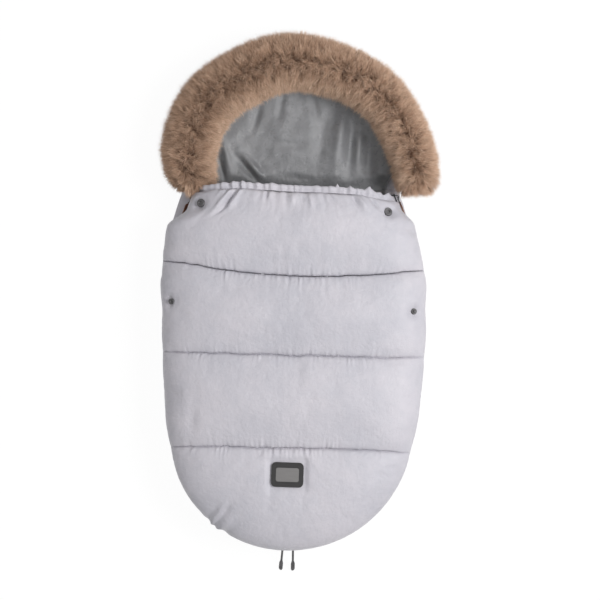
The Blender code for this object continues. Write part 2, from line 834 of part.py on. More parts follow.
def frame_matrix(origin, x_axis, y_axis, z_axis):
    """Placing matrix from an origin and three axes."""
    matrix = Matrix((x_axis, y_axis, z_axis)).transposed().to_4x4()
    matrix.translation = origin
    return matrix


def surface_frame(surface, x, y, sink):
    """Frame on a surface at a flat place: Z along its outward normal, sunk by a depth."""
    point = surface(x, y)
    along_x = (surface(x + PROBE, y) - surface(x - PROBE, y)).normalized()
    along_y = (surface(x, y + PROBE) - surface(x, y - PROBE)).normalized()
    normal = along_x.cross(along_y).normalized()
    along_x = along_y.cross(normal).normalized()
    along_y = normal.cross(along_x)
    return frame_matrix(point - normal * sink, along_x, along_y, normal)


# Fur


def fur_path(count):
    """Points of the fur's middle line, from the left end over the top to the right end."""
    points = []
    drop = (NECK_Y - FUR_END_Y) / FUR_LENGTH
    for index in range(count + 1):
        angle = lerp(math.pi + drop, -drop, index / count)
        reach = hood_reach(angle, FUR_HALF, FUR_LENGTH)
        points.append(Vector((FUR_CENTRE_X + reach * math.cos(angle), NECK_Y + reach * math.sin(angle))))
    return points


def build_fur():
    """The fur's roll and the strip that it is sewn to, cut clear of the folding flap."""
    flat = fur_path(FUR_STEPS)
    half = FUR_ROLL_WIDTH / 2
    roll_z = HOOD_RIM_Z + FUR_BACKING_THICKNESS + 2 * GAP
    section = []
    for step in range(FUR_SECTION_STEPS + 1):
        angle = math.pi * step / FUR_SECTION_STEPS
        height = FUR_ROLL_HEIGHT * math.sin(angle) ** FUR_ROLL_POWER
        section.append((half * math.cos(angle), height))
    path = [(point.x, point.y, roll_z) for point in flat]
    radii = []
    for index in range(FUR_STEPS + 1):
        from_end = min(index, FUR_STEPS - index) / FUR_END_STEPS
        radii.append(lerp(FUR_END_SHARE, 1, min(1, from_end)))
    roll = add_object("fur_trim", sweep("fur_trim", path, section, radii), "brown_fur")
    strip_z = HOOD_RIM_Z + GAP
    strip = [
        (FUR_BACKING_WIDTH / 2, 0.0),
        (FUR_BACKING_WIDTH / 2, FUR_BACKING_THICKNESS),
        (-FUR_BACKING_WIDTH / 2, FUR_BACKING_THICKNESS),
        (-FUR_BACKING_WIDTH / 2, 0.0),
    ]
    path = [(point.x, point.y, strip_z) for point in flat]
    backing = add_object("fur_backing", sweep("fur_backing", path, strip), "fur_backing")
    mesh = box_mesh(
        "flap_sweep_cutter",
        (-FLAP_CLEAR_HALF, FUR_END_Y - 3 * OVERRUN, 0),
        (FLAP_CLEAR_HALF, FLAP_CLEAR_Y, 2 * CREST_Z),
    )
    cutter = as_cutter(add_object("flap_sweep_cutter", mesh, "gunmetal"))
    cut(roll, cutter)
    cut(backing, cutter)


# Zips


def zip_path(side, top_y, low_y=None, end_angle=0.0):
    """Points along one side's zip from a height down to another, or round to an angle on the toe."""
    junction = QUARTER - math.asin((WIDEST_Y - TOE_CENTRE_Y) / (SIDE_RADIUS - TOE_RADIUS))
    junction_y = TOE_CENTRE_Y - TOE_RADIUS * math.cos(junction)
    points = []
    last_y = junction_y if low_y is None else low_y
    count = max(2, round((top_y - last_y) / ZIP_STEP))
    for index in range(count + 1):
        y = lerp(top_y, last_y, index / count)
        points.append(Vector((side * half_at(y), y)))
    if low_y is None:
        for index in range(1, ZIP_TOE_STEPS + 1):
            angle = lerp(junction, end_angle, index / ZIP_TOE_STEPS)
            points.append(toe_outline(side * angle))
    return points


def tape_section(bead_z, tape_end_z):
    """Closed section of a tape with its coil as a bead, as (outward, up)."""
    half = TAPE_THICKNESS / 2
    direction = 1 if tape_end_z > bead_z else -1
    points = []
    for step in range(BEAD_STEPS + 1):
        angle = lerp(BEAD_START, BEAD_END, step / BEAD_STEPS)
        points.append((BEAD_RADIUS * math.cos(angle), -direction * BEAD_RADIUS * math.sin(angle)))
    section = [(x, z + bead_z - ZIP_Z) for x, z in points]
    section.append((-half, tape_end_z - ZIP_Z))
    section.append((half, tape_end_z - ZIP_Z))
    return section


def inset_path(points, z):
    """A flat path moved inwards from the zip line by the tape's inset, at a height."""
    moved = []
    for point in points:
        foot = Vector((0, max(point.y, TOE_CENTRE_Y)))
        inner = point - (point - foot).normalized() * TAPE_INSET
        moved.append((inner.x, inner.y, z))
    return moved


def build_zip(name, side, bead_z, tape_end_z, top_y, low_y=None):
    """One half of a zip: its tape with the coil."""
    end = (ZIP_END_GAP + side * TOE_MEET_X) / TOE_RADIUS
    path = inset_path(zip_path(side, top_y, low_y, end), ZIP_Z)
    section = tape_section(bead_z, tape_end_z)
    return add_object(name, sweep(name, path, section), "zip_tape")


def build_zips():
    """The zip halves on the back, the cover and the flap."""
    back_end = RIM_Z + GAP
    cover_end = COVER_EDGE_Z - GAP
    for side, word in ((-1, "left"), (1, "right")):
        split = seam_at(SEAM_1, side)
        build_zip(f"back_zip_{word}", side, BACK_BEAD_Z, back_end, ZIP_NECK_Y)
        build_zip(f"cover_zip_{word}", side, COVER_BEAD_Z, cover_end, split - FLAP_ZIP_GAP)
        build_zip(
            f"flap_zip_{word}", side, COVER_BEAD_Z, cover_end, ZIP_NECK_Y, split + FLAP_ZIP_GAP
        )


# Sliders and pulls. A slider's frame has X along the zip, Y up and Z outward.


def slider_mesh():
    """Mesh of a slider: two plates, the post between the chains and the bail on top."""
    half = SLIDER_OPENING / 2
    length = SLIDER_LENGTH / 2
    width = SLIDER_WIDTH / 2
    plate_top = half + PLATE_THICKNESS
    front = box_mesh("front", (-length, -width, half), (length, width, plate_top), SLIDER_BEVEL)
    rear = box_mesh("rear", (-length, -width, -plate_top), (length, width, -half), SLIDER_BEVEL)
    sunk = PLATE_THICKNESS / 2
    post = box_mesh(
        "post",
        (length - POST_LENGTH, -POST_WIDTH / 2, -half - sunk),
        (length - SLIDER_BEVEL, POST_WIDTH / 2, half + sunk),
    )
    arch = []
    for step in range(BAIL_STEPS + 1):
        angle = math.pi * step / BAIL_STEPS
        height = BAIL_HEIGHT * math.sin(angle)
        arch.append((BAIL_HALF * math.cos(angle), 0, plate_top - sunk + height))
    rail = curve_object("bail_rail", [arch], False)
    rail.data.bevel_depth = WIRE_RADIUS
    rail.data.bevel_resolution = 1
    rail.data.use_fill_caps = True
    bpy.context.view_layer.update()
    return union("zip_slider", [front, rear, post, evaluated_mesh(rail)])


def leather_outline():
    """Outline of a leather tab, running along Y from just past its link's bar."""
    start = WIRE_RADIUS + 2 * GAP
    middle = (0.0, start + LEATHER_LENGTH / 2)
    return rounded_rectangle(
        LEATHER_WIDTH, LEATHER_LENGTH, LEATHER_CORNER, CORNER_STEPS, middle
    )


def toe_tag_outline():
    """Outline of a metal tag: a slim neck that widens to a rounded end."""
    start = WIRE_RADIUS + 2 * GAP
    end = start + TOE_TAG_LENGTH
    neck_end = lerp(start, end, TOE_TAG_NECK_SHARE)
    neck = TOE_TAG_NECK / 2
    wide = TOE_TAG_WIDTH / 2
    right = [
        (neck, start),
        (neck, neck_end),
        (wide, neck_end + 2 * wide),
        (wide, end - wide),
        (wide * math.cos(QUARTER / 2), end - wide + wide * math.sin(QUARTER / 2)),
        (wide * math.cos(QUARTER * 3 / 4), end - wide + wide * math.sin(QUARTER * 3 / 4)),
    ]
    return right + [(-x, y) for x, y in reversed(right)]


def slider_placing(side, top):
    """Frame of a slider and the axis points of its travel."""
    if top:
        centre = Vector((-side * SIDE_CENTRE_X, WIDEST_Y))
        flat = Vector((side * half_at(TOP_SLIDER_Y), TOP_SLIDER_Y))
    else:
        centre = Vector((0, TOE_CENTRE_Y))
        flat = toe_outline(TOE_MEET_X / TOE_RADIUS + side * TOE_SLIDER_ANGLE)
    out = (flat - centre).normalized()
    seat = flat - out * TAPE_INSET
    outward = Vector((out.x, out.y, 0))
    up = Vector((0, 0, 1))
    head = up.cross(outward)
    # The head end points to the neck on a top slider and to the toe's middle on a toe slider.
    if (top and head.y < 0) or (not top and head.x * side > 0):
        head = -head
    across = outward.cross(head)
    return frame_matrix(Vector((seat.x, seat.y, ZIP_Z)), head, across, outward), centre


def pivot_empty(name, location):
    """An empty on a joint's axis."""
    empty = bpy.data.objects.new(name, None)
    empty.location = location
    PARTS.objects.link(empty)
    return empty


def ride(obj, empty):
    """Parents an object to an empty and leaves it in place."""
    obj.parent = empty
    obj.matrix_parent_inverse = Matrix.Translation(-empty.location)


def build_pull(word, place, side, along, face, roll, outline, thickness, finish):
    """A pull on its slider: a metal link under the bail, and a tab whose eye holds the link's far bar.

    along is the way it lies at rest and face the link's flat side. The tab is rolled about its length.
    """
    placing, _ = slider_placing(side, place == "top")
    outward, seat = placing.col[2].to_3d(), placing.col[3].to_3d()
    plate_top = SLIDER_OPENING / 2 + PLATE_THICKNESS
    pivot = seat + outward * (plate_top + PULL_SEAT)
    axis = along.cross(face)
    bar = 2 * WIRE_RADIUS
    middle = (0.0, LINK_LENGTH / 2 - WIRE_RADIUS)
    ring = rounded_rectangle(LINK_WIDTH, LINK_LENGTH, bar, CORNER_STEPS, middle)
    window = rounded_rectangle(LINK_WIDTH - 2 * bar, LINK_LENGTH - 2 * bar, bar / 4, 1, middle)
    link_frame = frame_matrix(pivot, axis, along, face)
    link_name = f"{place}_pull_link_{word}"
    link = add_object(link_name, flat_plate(link_name, [ring, window], bar, link_frame), "gunmetal")
    turn = Matrix.Rotation(roll, 3, along)
    far_bar = pivot + along * (LINK_LENGTH - bar)
    tab_frame = frame_matrix(far_bar, turn @ axis, along, turn @ face)
    blade = flat_plate("blade", [outline], thickness, tab_frame)
    bore = WIRE_RADIUS * math.sqrt(2) + GAP
    half = EYE_WIDTH / 2
    eye_profile = (
        (bore, half),
        (EYE_RADIUS, half),
        (EYE_RADIUS, -half),
        (bore, -half),
        (bore, half),
    )
    eye_frame = frame_matrix(far_bar, along, face, axis)
    eye = turned("eye", eye_profile, eye_frame, EYE_TURN_STEPS)
    tab_name = f"{place}_pull_tab_{word}"
    tab = add_object(tab_name, union(tab_name, [blade, eye]), finish)
    empty = pivot_empty(f"{place}_pull_{word}_pivot", pivot)
    ride(link, empty)
    ride(tab, empty)
    return pivot, axis


def build_top_pull(side, word, roll):
    """Link and leather tab of a top slider, hanging down the zip."""
    placing, _ = slider_placing(side, True)
    down = -placing.col[0].to_3d()
    outward = placing.col[2].to_3d()
    turn = -side * (QUARTER - roll)
    outline = leather_outline()
    return build_pull(
        word, "top", side, down, outward, turn, outline, LEATHER_THICKNESS, "brown_leather"
    )


def build_toe_pull(side, word):
    """Link and metal tag of a toe slider, drooping out and down to the floor."""
    placing, _ = slider_placing(side, False)
    head, outward = placing.col[0].to_3d(), placing.col[2].to_3d()
    up = Vector((0, 0, 1))
    along = outward * math.cos(TOE_PULL_DROOP) - up * math.sin(TOE_PULL_DROOP)
    face = -head
    outline = toe_tag_outline()
    turn = side * TOE_TAG_ROLL
    return build_pull(
        word, "toe", side, along, face, turn, outline, TOE_TAG_THICKNESS, "gunmetal"
    )


def build_sliders():
    """The four sliders with their pulls."""
    shape = slider_mesh()
    joints = {}
    for side, word, roll in ((-1, "left", LEFT_LEATHER_ROLL), (1, "right", RIGHT_LEATHER_ROLL)):
        for top, place in ((True, "top"), (False, "toe")):
            placing, centre = slider_placing(side, top)
            mesh = shape.copy()
            mesh.transform(placing)
            slider = add_object(f"{place}_slider_{word}", mesh, "gunmetal")
            pivot = Vector((centre.x, centre.y, ZIP_Z))
            ride(slider, pivot_empty(f"{place}_slider_{word}_pivot", pivot))
            joints[f"{place}_slider_{word}"] = (pivot, Vector((0, 0, 1)))
        joints[f"top_pull_{word}"] = build_top_pull(side, word, roll)
        joints[f"toe_pull_{word}"] = build_toe_pull(side, word)
    return joints


# Snaps


def snap_surface(x, y):
    """Crest surface that a snap is set into."""
    return cover_surface(x, y, 0.0, 0.0)


def snap_fullness(y, upper, lower, u):
    """Fullness of the channel where a snap sits."""
    top, low = seam_at(upper, u), seam_at(lower, u)
    return puff((top - y) / (top - low))


def snap_pocket(name, matrix, radius, depth):
    """Cutter of a snap's pocket, its bore and the pocket of its back."""
    profile = (
        (0.0, OVERRUN),
        (radius + GAP, OVERRUN),
        (radius + GAP, -SNAP_POCKET),
        (SNAP_STEM_RADIUS + GAP, -SNAP_POCKET),
        (SNAP_STEM_RADIUS + GAP, -SNAP_POCKET - SNAP_GRIP),
        (SNAP_BACK_RADIUS + GAP, -SNAP_POCKET - SNAP_GRIP),
        (SNAP_BACK_RADIUS + GAP, -depth),
        (0.0, -depth),
    )
    mesh = turned(name, profile, matrix)
    return as_cutter(add_object(name, mesh, "gunmetal"))


def build_snap(word, spot, quilt, upper, lower, socket):
    """A snap on the quilt: the part that shows, with its stem, and the back that holds it."""
    u, y = spot
    x = u * half_at(y)
    fullness = snap_fullness(y, upper, lower, u)
    matrix = surface_frame(snap_surface, x, y, VALLEY_DEPTH * (1 - fullness))
    kind = "socket" if socket else "stud"
    depth = SEAM_THICKNESS + VALLEY_DEPTH * fullness + OVERRUN
    radius = SNAP_RADIUS if socket else STUD_RADIUS
    cut(quilt, snap_pocket(f"snap_{kind}_{word}_pocket", matrix, radius, depth))
    floor = GAP - SNAP_POCKET
    top = floor + SNAP_HEIGHT
    stem_end = -SNAP_POCKET - SNAP_GRIP - GAP - SNAP_BACK_HEIGHT
    lip = SNAP_HEIGHT / 4
    rim = (
        (radius - lip, top),
        (radius, top - lip),
        (radius, floor),
        (SNAP_STEM_RADIUS, floor),
        (SNAP_STEM_RADIUS, stem_end),
        (0.0, stem_end),
    )
    if socket:
        hollow = (
            (0.0, floor + lip),
            (SOCKET_HOLE_RADIUS, floor + lip),
            (SOCKET_HOLE_RADIUS, top - lip),
            (SOCKET_HOLE_RADIUS + lip, top),
        )
        profile = hollow + rim
    else:
        knob = (
            (0.0, top + STUD_KNOB_HEIGHT),
            (STUD_KNOB_RADIUS - lip, top + STUD_KNOB_HEIGHT),
            (STUD_KNOB_RADIUS, top + STUD_KNOB_HEIGHT - lip),
            (STUD_KNOB_RADIUS - lip / 2, top),
        )
        profile = knob + rim
    add_object(f"snap_{kind}_{word}", turned(f"snap_{kind}_{word}", profile, matrix), "gunmetal")
    seat = -SNAP_POCKET - SNAP_GRIP - GAP
    bore = SNAP_STEM_RADIUS + GAP
    ring = (
        (bore, seat),
        (SNAP_BACK_RADIUS - lip, seat),
        (SNAP_BACK_RADIUS, seat - lip),
        (SNAP_BACK_RADIUS, seat - SNAP_BACK_HEIGHT),
        (bore, seat - SNAP_BACK_HEIGHT),
        (bore, seat),
    )
    name = f"snap_{kind}_back_{word}"
    add_object(name, turned(name, ring, matrix), "gunmetal")


def build_snaps(cover, flap):
    """Sockets on the flap's corners and studs on the cover's sides."""
    for word, spot in (("left", LEFT_SOCKET), ("right", RIGHT_SOCKET)):
        build_snap(word, spot, flap, hem_seam(), SEAM_1, True)
    for word, spot in (("left", LEFT_STUD), ("right", RIGHT_STUD)):
        build_snap(word, spot, cover, SEAM_1, SEAM_2, False)


# Badge and harness slots


def build_badge(cover):
    """Rubber patch and its bare plate, pressed into the toe."""

    def toe_skin(x, y):
        u = x / half_at(max(y, TOE_CENTRE_Y))
        return cover_surface(x, y, 0.0, VALLEY_DEPTH * (1 - toe_puff(y, SEAM_3, u)))

    matrix = surface_frame(toe_skin, BADGE_X, BADGE_Y, BADGE_SINK)
    outline = rounded_rectangle(BADGE_WIDTH, BADGE_LENGTH, BADGE_CORNER, BADGE_CORNER_STEPS)
    lift = Matrix.Translation((0, 0, BADGE_THICKNESS / 2 + GAP))
    patch = flat_plate("badge_patch", [outline], BADGE_THICKNESS, matrix @ lift)
    patch_object = add_object("badge_patch", patch, "dark_rubber")
    wide = rounded_rectangle(
        BADGE_PLATE_WIDTH + 2 * GAP, BADGE_PLATE_LENGTH + 2 * GAP, BADGE_PLATE_CORNER
    )
    floor = GAP + BADGE_THICKNESS - (BADGE_PLATE_THICKNESS + GAP)
    lift = Matrix.Translation((0, 0, floor + OVERRUN / 2))
    cutter = flat_plate("badge_recess_cutter", [wide], OVERRUN, matrix @ lift)
    cutter = as_cutter(add_object("badge_recess_cutter", cutter, "gunmetal"))
    cut(patch_object, cutter)
    narrow = rounded_rectangle(BADGE_PLATE_WIDTH, BADGE_PLATE_LENGTH, BADGE_PLATE_CORNER)
    lift = Matrix.Translation((0, 0, floor + GAP + BADGE_PLATE_THICKNESS / 2))
    plate = flat_plate("badge_plate", [narrow], BADGE_PLATE_THICKNESS, matrix @ lift)
    add_object("badge_plate", plate, "brushed_plate")
    seat = rounded_rectangle(
        BADGE_WIDTH + 2 * GAP, BADGE_LENGTH + 2 * GAP, BADGE_CORNER + GAP, BADGE_CORNER_STEPS
    )
    lift = Matrix.Translation((0, 0, OVERRUN))
    cutter = flat_plate("badge_seat_cutter", [seat], 2 * OVERRUN, matrix @ lift)
    cutter = as_cutter(add_object("badge_seat_cutter", cutter, "gunmetal"))
    cut(cover, cutter)


def slot_outline(length, width, centre):
    """Round-ended slot, long along Y."""
    return rounded_rectangle(width, length, width / 2 * SLOT_ROUND_SHARE, SLOT_END_STEPS, centre)


def build_slots(tub, lining):
    """Harness slots through the back, each with its binding."""
    slots = (
        ("shoulder_slot_binding_left", -SHOULDER_SLOT_X, SHOULDER_SLOT_Y, SHOULDER_SLOT_LENGTH),
        ("shoulder_slot_binding_right", SHOULDER_SLOT_X, SHOULDER_SLOT_Y, SHOULDER_SLOT_LENGTH),
        ("crotch_slot_binding", 0.0, CROTCH_SLOT_Y, CROTCH_SLOT_LENGTH),
    )
    floor = TUB_THICKNESS + GAP + TUB_LINING_THICKNESS
    for name, x, y, length in slots:
        outline = slot_outline(length, SLOT_WIDTH, (x, y))
        middle = Matrix.Translation((0, 0, floor / 2))
        cutter = flat_plate(name + "_cutter", [outline], floor + 2 * OVERRUN, middle)
        cutter = as_cutter(add_object(name + "_cutter", cutter, "gunmetal"))
        cut(tub, cutter)
        cut(lining, cutter)
        outer = slot_outline(length - 2 * GAP, SLOT_WIDTH - 2 * GAP, (x, y))
        wall = GAP + BINDING_THICKNESS
        inner = slot_outline(length - 2 * wall, SLOT_WIDTH - 2 * wall, (x, y))
        height = floor + BINDING_PROUD - GAP
        middle = Matrix.Translation((0, 0, GAP + height / 2))
        add_object(name, flat_plate(name, [outer, inner], height, middle), "zip_tape")


def main():
    """Builds the footmuff and prints the axes of its joints."""
    cover = build_cover()
    flap = build_flap()
    tub, lining = build_tub()
    build_hood()
    build_fur()
    build_zips()
    joints = build_sliders()
    build_snaps(cover, flap)
    build_badge(cover)
    build_slots(tub, lining)
    for name, (pivot, axis) in joints.items():
        print(name, [round(v, 5) for v in pivot], [round(v, 5) for v in axis])


clear_scene()
PARTS = new_collection("stroller_footmuff")
CUTTERS = new_collection("footmuff_cutters")
main()
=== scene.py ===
"""Looks of a stroller footmuff: pearl grey quilting, a fur-trimmed hood, zips, pulls, snaps and a badge.

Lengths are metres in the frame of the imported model: +Z is the front of the footmuff, +Y runs to its head
end and -Y to its toe, and its flat back rests at Z = 0.
"""

import logging
import math
from collections.abc import Callable, Iterable, Sequence
from dataclasses import dataclass, field
from enum import Enum
from functools import cached_property

import bmesh
import bpy
import numpy as np
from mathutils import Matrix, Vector, noise


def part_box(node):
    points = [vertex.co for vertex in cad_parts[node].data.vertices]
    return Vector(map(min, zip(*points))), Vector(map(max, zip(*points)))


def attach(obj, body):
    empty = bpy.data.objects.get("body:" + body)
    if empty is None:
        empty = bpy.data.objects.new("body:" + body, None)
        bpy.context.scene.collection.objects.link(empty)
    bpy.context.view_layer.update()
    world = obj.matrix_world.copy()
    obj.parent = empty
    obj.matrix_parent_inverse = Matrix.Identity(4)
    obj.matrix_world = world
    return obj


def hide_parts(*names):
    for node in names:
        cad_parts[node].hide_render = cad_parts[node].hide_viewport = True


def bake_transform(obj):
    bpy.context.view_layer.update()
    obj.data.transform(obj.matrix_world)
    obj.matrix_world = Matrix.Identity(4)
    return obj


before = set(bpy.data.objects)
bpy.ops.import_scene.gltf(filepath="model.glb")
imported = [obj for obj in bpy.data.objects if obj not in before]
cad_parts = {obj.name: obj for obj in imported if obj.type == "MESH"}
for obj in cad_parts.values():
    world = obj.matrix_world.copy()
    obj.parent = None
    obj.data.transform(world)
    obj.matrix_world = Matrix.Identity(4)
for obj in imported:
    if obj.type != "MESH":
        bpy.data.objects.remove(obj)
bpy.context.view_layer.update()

LOG = logging.getLogger("footmuff")
Array = np.ndarray
Colour = tuple[float, float, float]
QUARTER = math.pi / 2
SHARP_ANGLE = math.radians(40)
TINY = 1e-9
SEED = 11


class Body(Enum):
    """Moving bodies that soft pieces and trim ride on."""

    BACK = "back"
    COVER = "cover"
    FLAP = "flap"


class Side(Enum):
    """Left or right of the footmuff, as the sign of X."""

    LEFT = -1
    RIGHT = 1

    @property
    def word(self) -> str:
        """The side's name in lower case."""
        return self.name.lower()


# Small helpers on numbers


def lerp(a: Array | float, b: Array | float, t: Array | float) -> Array | float:
    """Value between a and b."""
    return a + (b - a) * t


def smooth(t: Array | float) -> Array:
    """Rises from 0 to 1 with level ends."""
    t = np.clip(t, 0.0, 1.0)
    return t * t * (3 - 2 * t)


@dataclass(frozen=True)
class Ramp:
    """A smooth rise from 0 to 1: where it starts and how long it is."""

    start: float
    length: float

    def up(self, value: Array | float) -> Array:
        """From 0 before the rise to 1 past it."""
        return smooth((value - self.start) / self.length)

    def down(self, value: Array | float) -> Array:
        """From 1 before the rise to 0 past it."""
        return 1 - self.up(value)


def bell(away: Array, size: float) -> Array:
    """1 where away is 0, fading to either side within the size."""
    return np.exp(-((away / size) ** 2))


def unit(v: Array) -> Array:
    """Rows of v at length one."""
    return v / np.maximum(np.linalg.norm(v, axis=-1, keepdims=True), TINY)


def polar(away: Array) -> tuple[Array, Array]:
    """Lengths and directions of flat rows; a row of no length points along +X."""
    length = np.linalg.norm(away, axis=1)
    out = away / np.maximum(length, TINY)[:, None]
    return length, np.where(length[:, None] < TINY, np.array([1.0, 0.0]), out)


def lengths(points: Array) -> Array:
    """Length of a line up to each of its points."""
    return np.concatenate([[0.0], np.cumsum(np.linalg.norm(np.diff(points, axis=0), axis=1))])


def on_line(at: Array, gone: Array, values: Array) -> Array:
    """Values along a line at the lengths given, between those at its points."""
    return np.stack([np.interp(at, gone, column) for column in values.T], -1)


def ripple(places: Array, size: float, seed: float = 0.0) -> Array:
    """Smooth noise at each place.

    Args:
        places: rows of two or three coordinates.
        size: width of one bump.
        seed: moves the pattern to another part of the noise.

    Returns:
        One value from -1 to 1 for each row.
    """
    scaled = np.zeros((len(places), 3))
    scaled[:, : places.shape[1]] = places / size
    scaled[:, 2] += seed
    return np.array([noise.noise(row) for row in scaled.tolist()])


@dataclass(frozen=True)
class Ripple:
    """One layer of smooth unevenness: its height, the width of its bumps and the seed of its pattern."""

    height: float
    size: float
    seed: float

    def at(self, places: Array, moved: float = 0.0) -> Array:
        """Height at each place, in the pattern or in another one by a moved seed."""
        return self.height * ripple(places, self.size, self.seed + moved)


def uneven(places: Array, layers: Iterable[Ripple]) -> Array:
    """Layers of unevenness together."""
    return sum(layer.at(places) for layer in layers)


def graded(length: float, fine: float, coarse: float, growth: float = 1.5) -> Array:
    """Shares from 0 to 1 whose steps are fine at both ends and coarse between.

    Args:
        length: real length that the shares cover.
        fine: first and last step.
        coarse: widest step.
        growth: how much wider each step is than the last.

    Returns:
        The shares, ends included.
    """
    steps = [0.0]
    step = fine
    while steps[-1] < length / 2:
        steps.append(steps[-1] + step)
        step = min(step * growth, coarse)
    half = np.array(steps) / steps[-1] / 2
    return np.concatenate([half, 1 - half[-2::-1]])


def patch(u: Array, v: Array, sides: Sequence[Array], near_ends: Array, far_ends: Array) -> Array:
    """Flat places between four curved sides.

    Args:
        u: shares across, from -1 to 1.
        v: shares from the near side to the far one.
        sides: places of the near, far, left and right side at those shares.
        near_ends: both ends of the near side.
        far_ends: both ends of the far side.

    Returns:
        One flat place for each pair of u and v.
    """
    near, far, left, right = sides
    s, v = ((u + 1) / 2)[..., None], v[..., None]
    corners = lerp(lerp(near_ends[0], near_ends[1], s), lerp(far_ends[0], far_ends[1], s), v)
    return lerp(near, far, v) + lerp(left, right, s) - corners


# Shape of the bag


@dataclass(frozen=True)
class Seam:
    """A line across the cover: its middle's height, its tilt to the right, its bow and its sides' droop."""

    middle: float
    tilt: float = 0.0
    bow: float = 0.0
    droop: float = 0.0

    def at(self, u: Array) -> Array:
        """Y of the seam at shares u of the half width."""
        return self.middle + self.tilt * u + self.bow * u**2 - self.droop * u**4

    def moved(self, by: float) -> "Seam":
        """The same line, higher or lower."""
        return Seam(self.middle + by, self.tilt, self.bow, self.droop)


@dataclass(frozen=True)
class Bowl:
    """Section of a padded bowl: a flat floor, a rounded corner and a rim."""

    corner: float
    floor_share: float
    rim_z: float

    def rise(self, share: Array) -> Array:
        """Turn round the corner, from 0 on the floor to a quarter at the rim."""
        return np.clip((share - self.floor_share) / (1 - self.floor_share), 0, 1) * QUARTER

    def section(
        self, reach: Array, share: Array, depth: float, bulge: Array | float = 0.0
    ) -> tuple[Array, Array]:
        """Radius and height of points.

        Args:
            reach: distance of the rim from the foot.
            share: share of that distance.
            depth: depth inside the outer skin.
            bulge: how far the wall stands out between floor and rim.

        Returns:
            The radius and the height of each point.
        """
        rise = self.rise(share)
        floor_reach = reach - depth - self.corner
        wall = floor_reach + self.corner * np.sin(rise) + bulge * np.sin(2 * rise)
        on_floor = share <= self.floor_share
        radius = np.where(on_floor, floor_reach * share / self.floor_share, wall)
        return radius, np.where(on_floor, depth, lerp(self.rim_z, depth, np.cos(rise)))


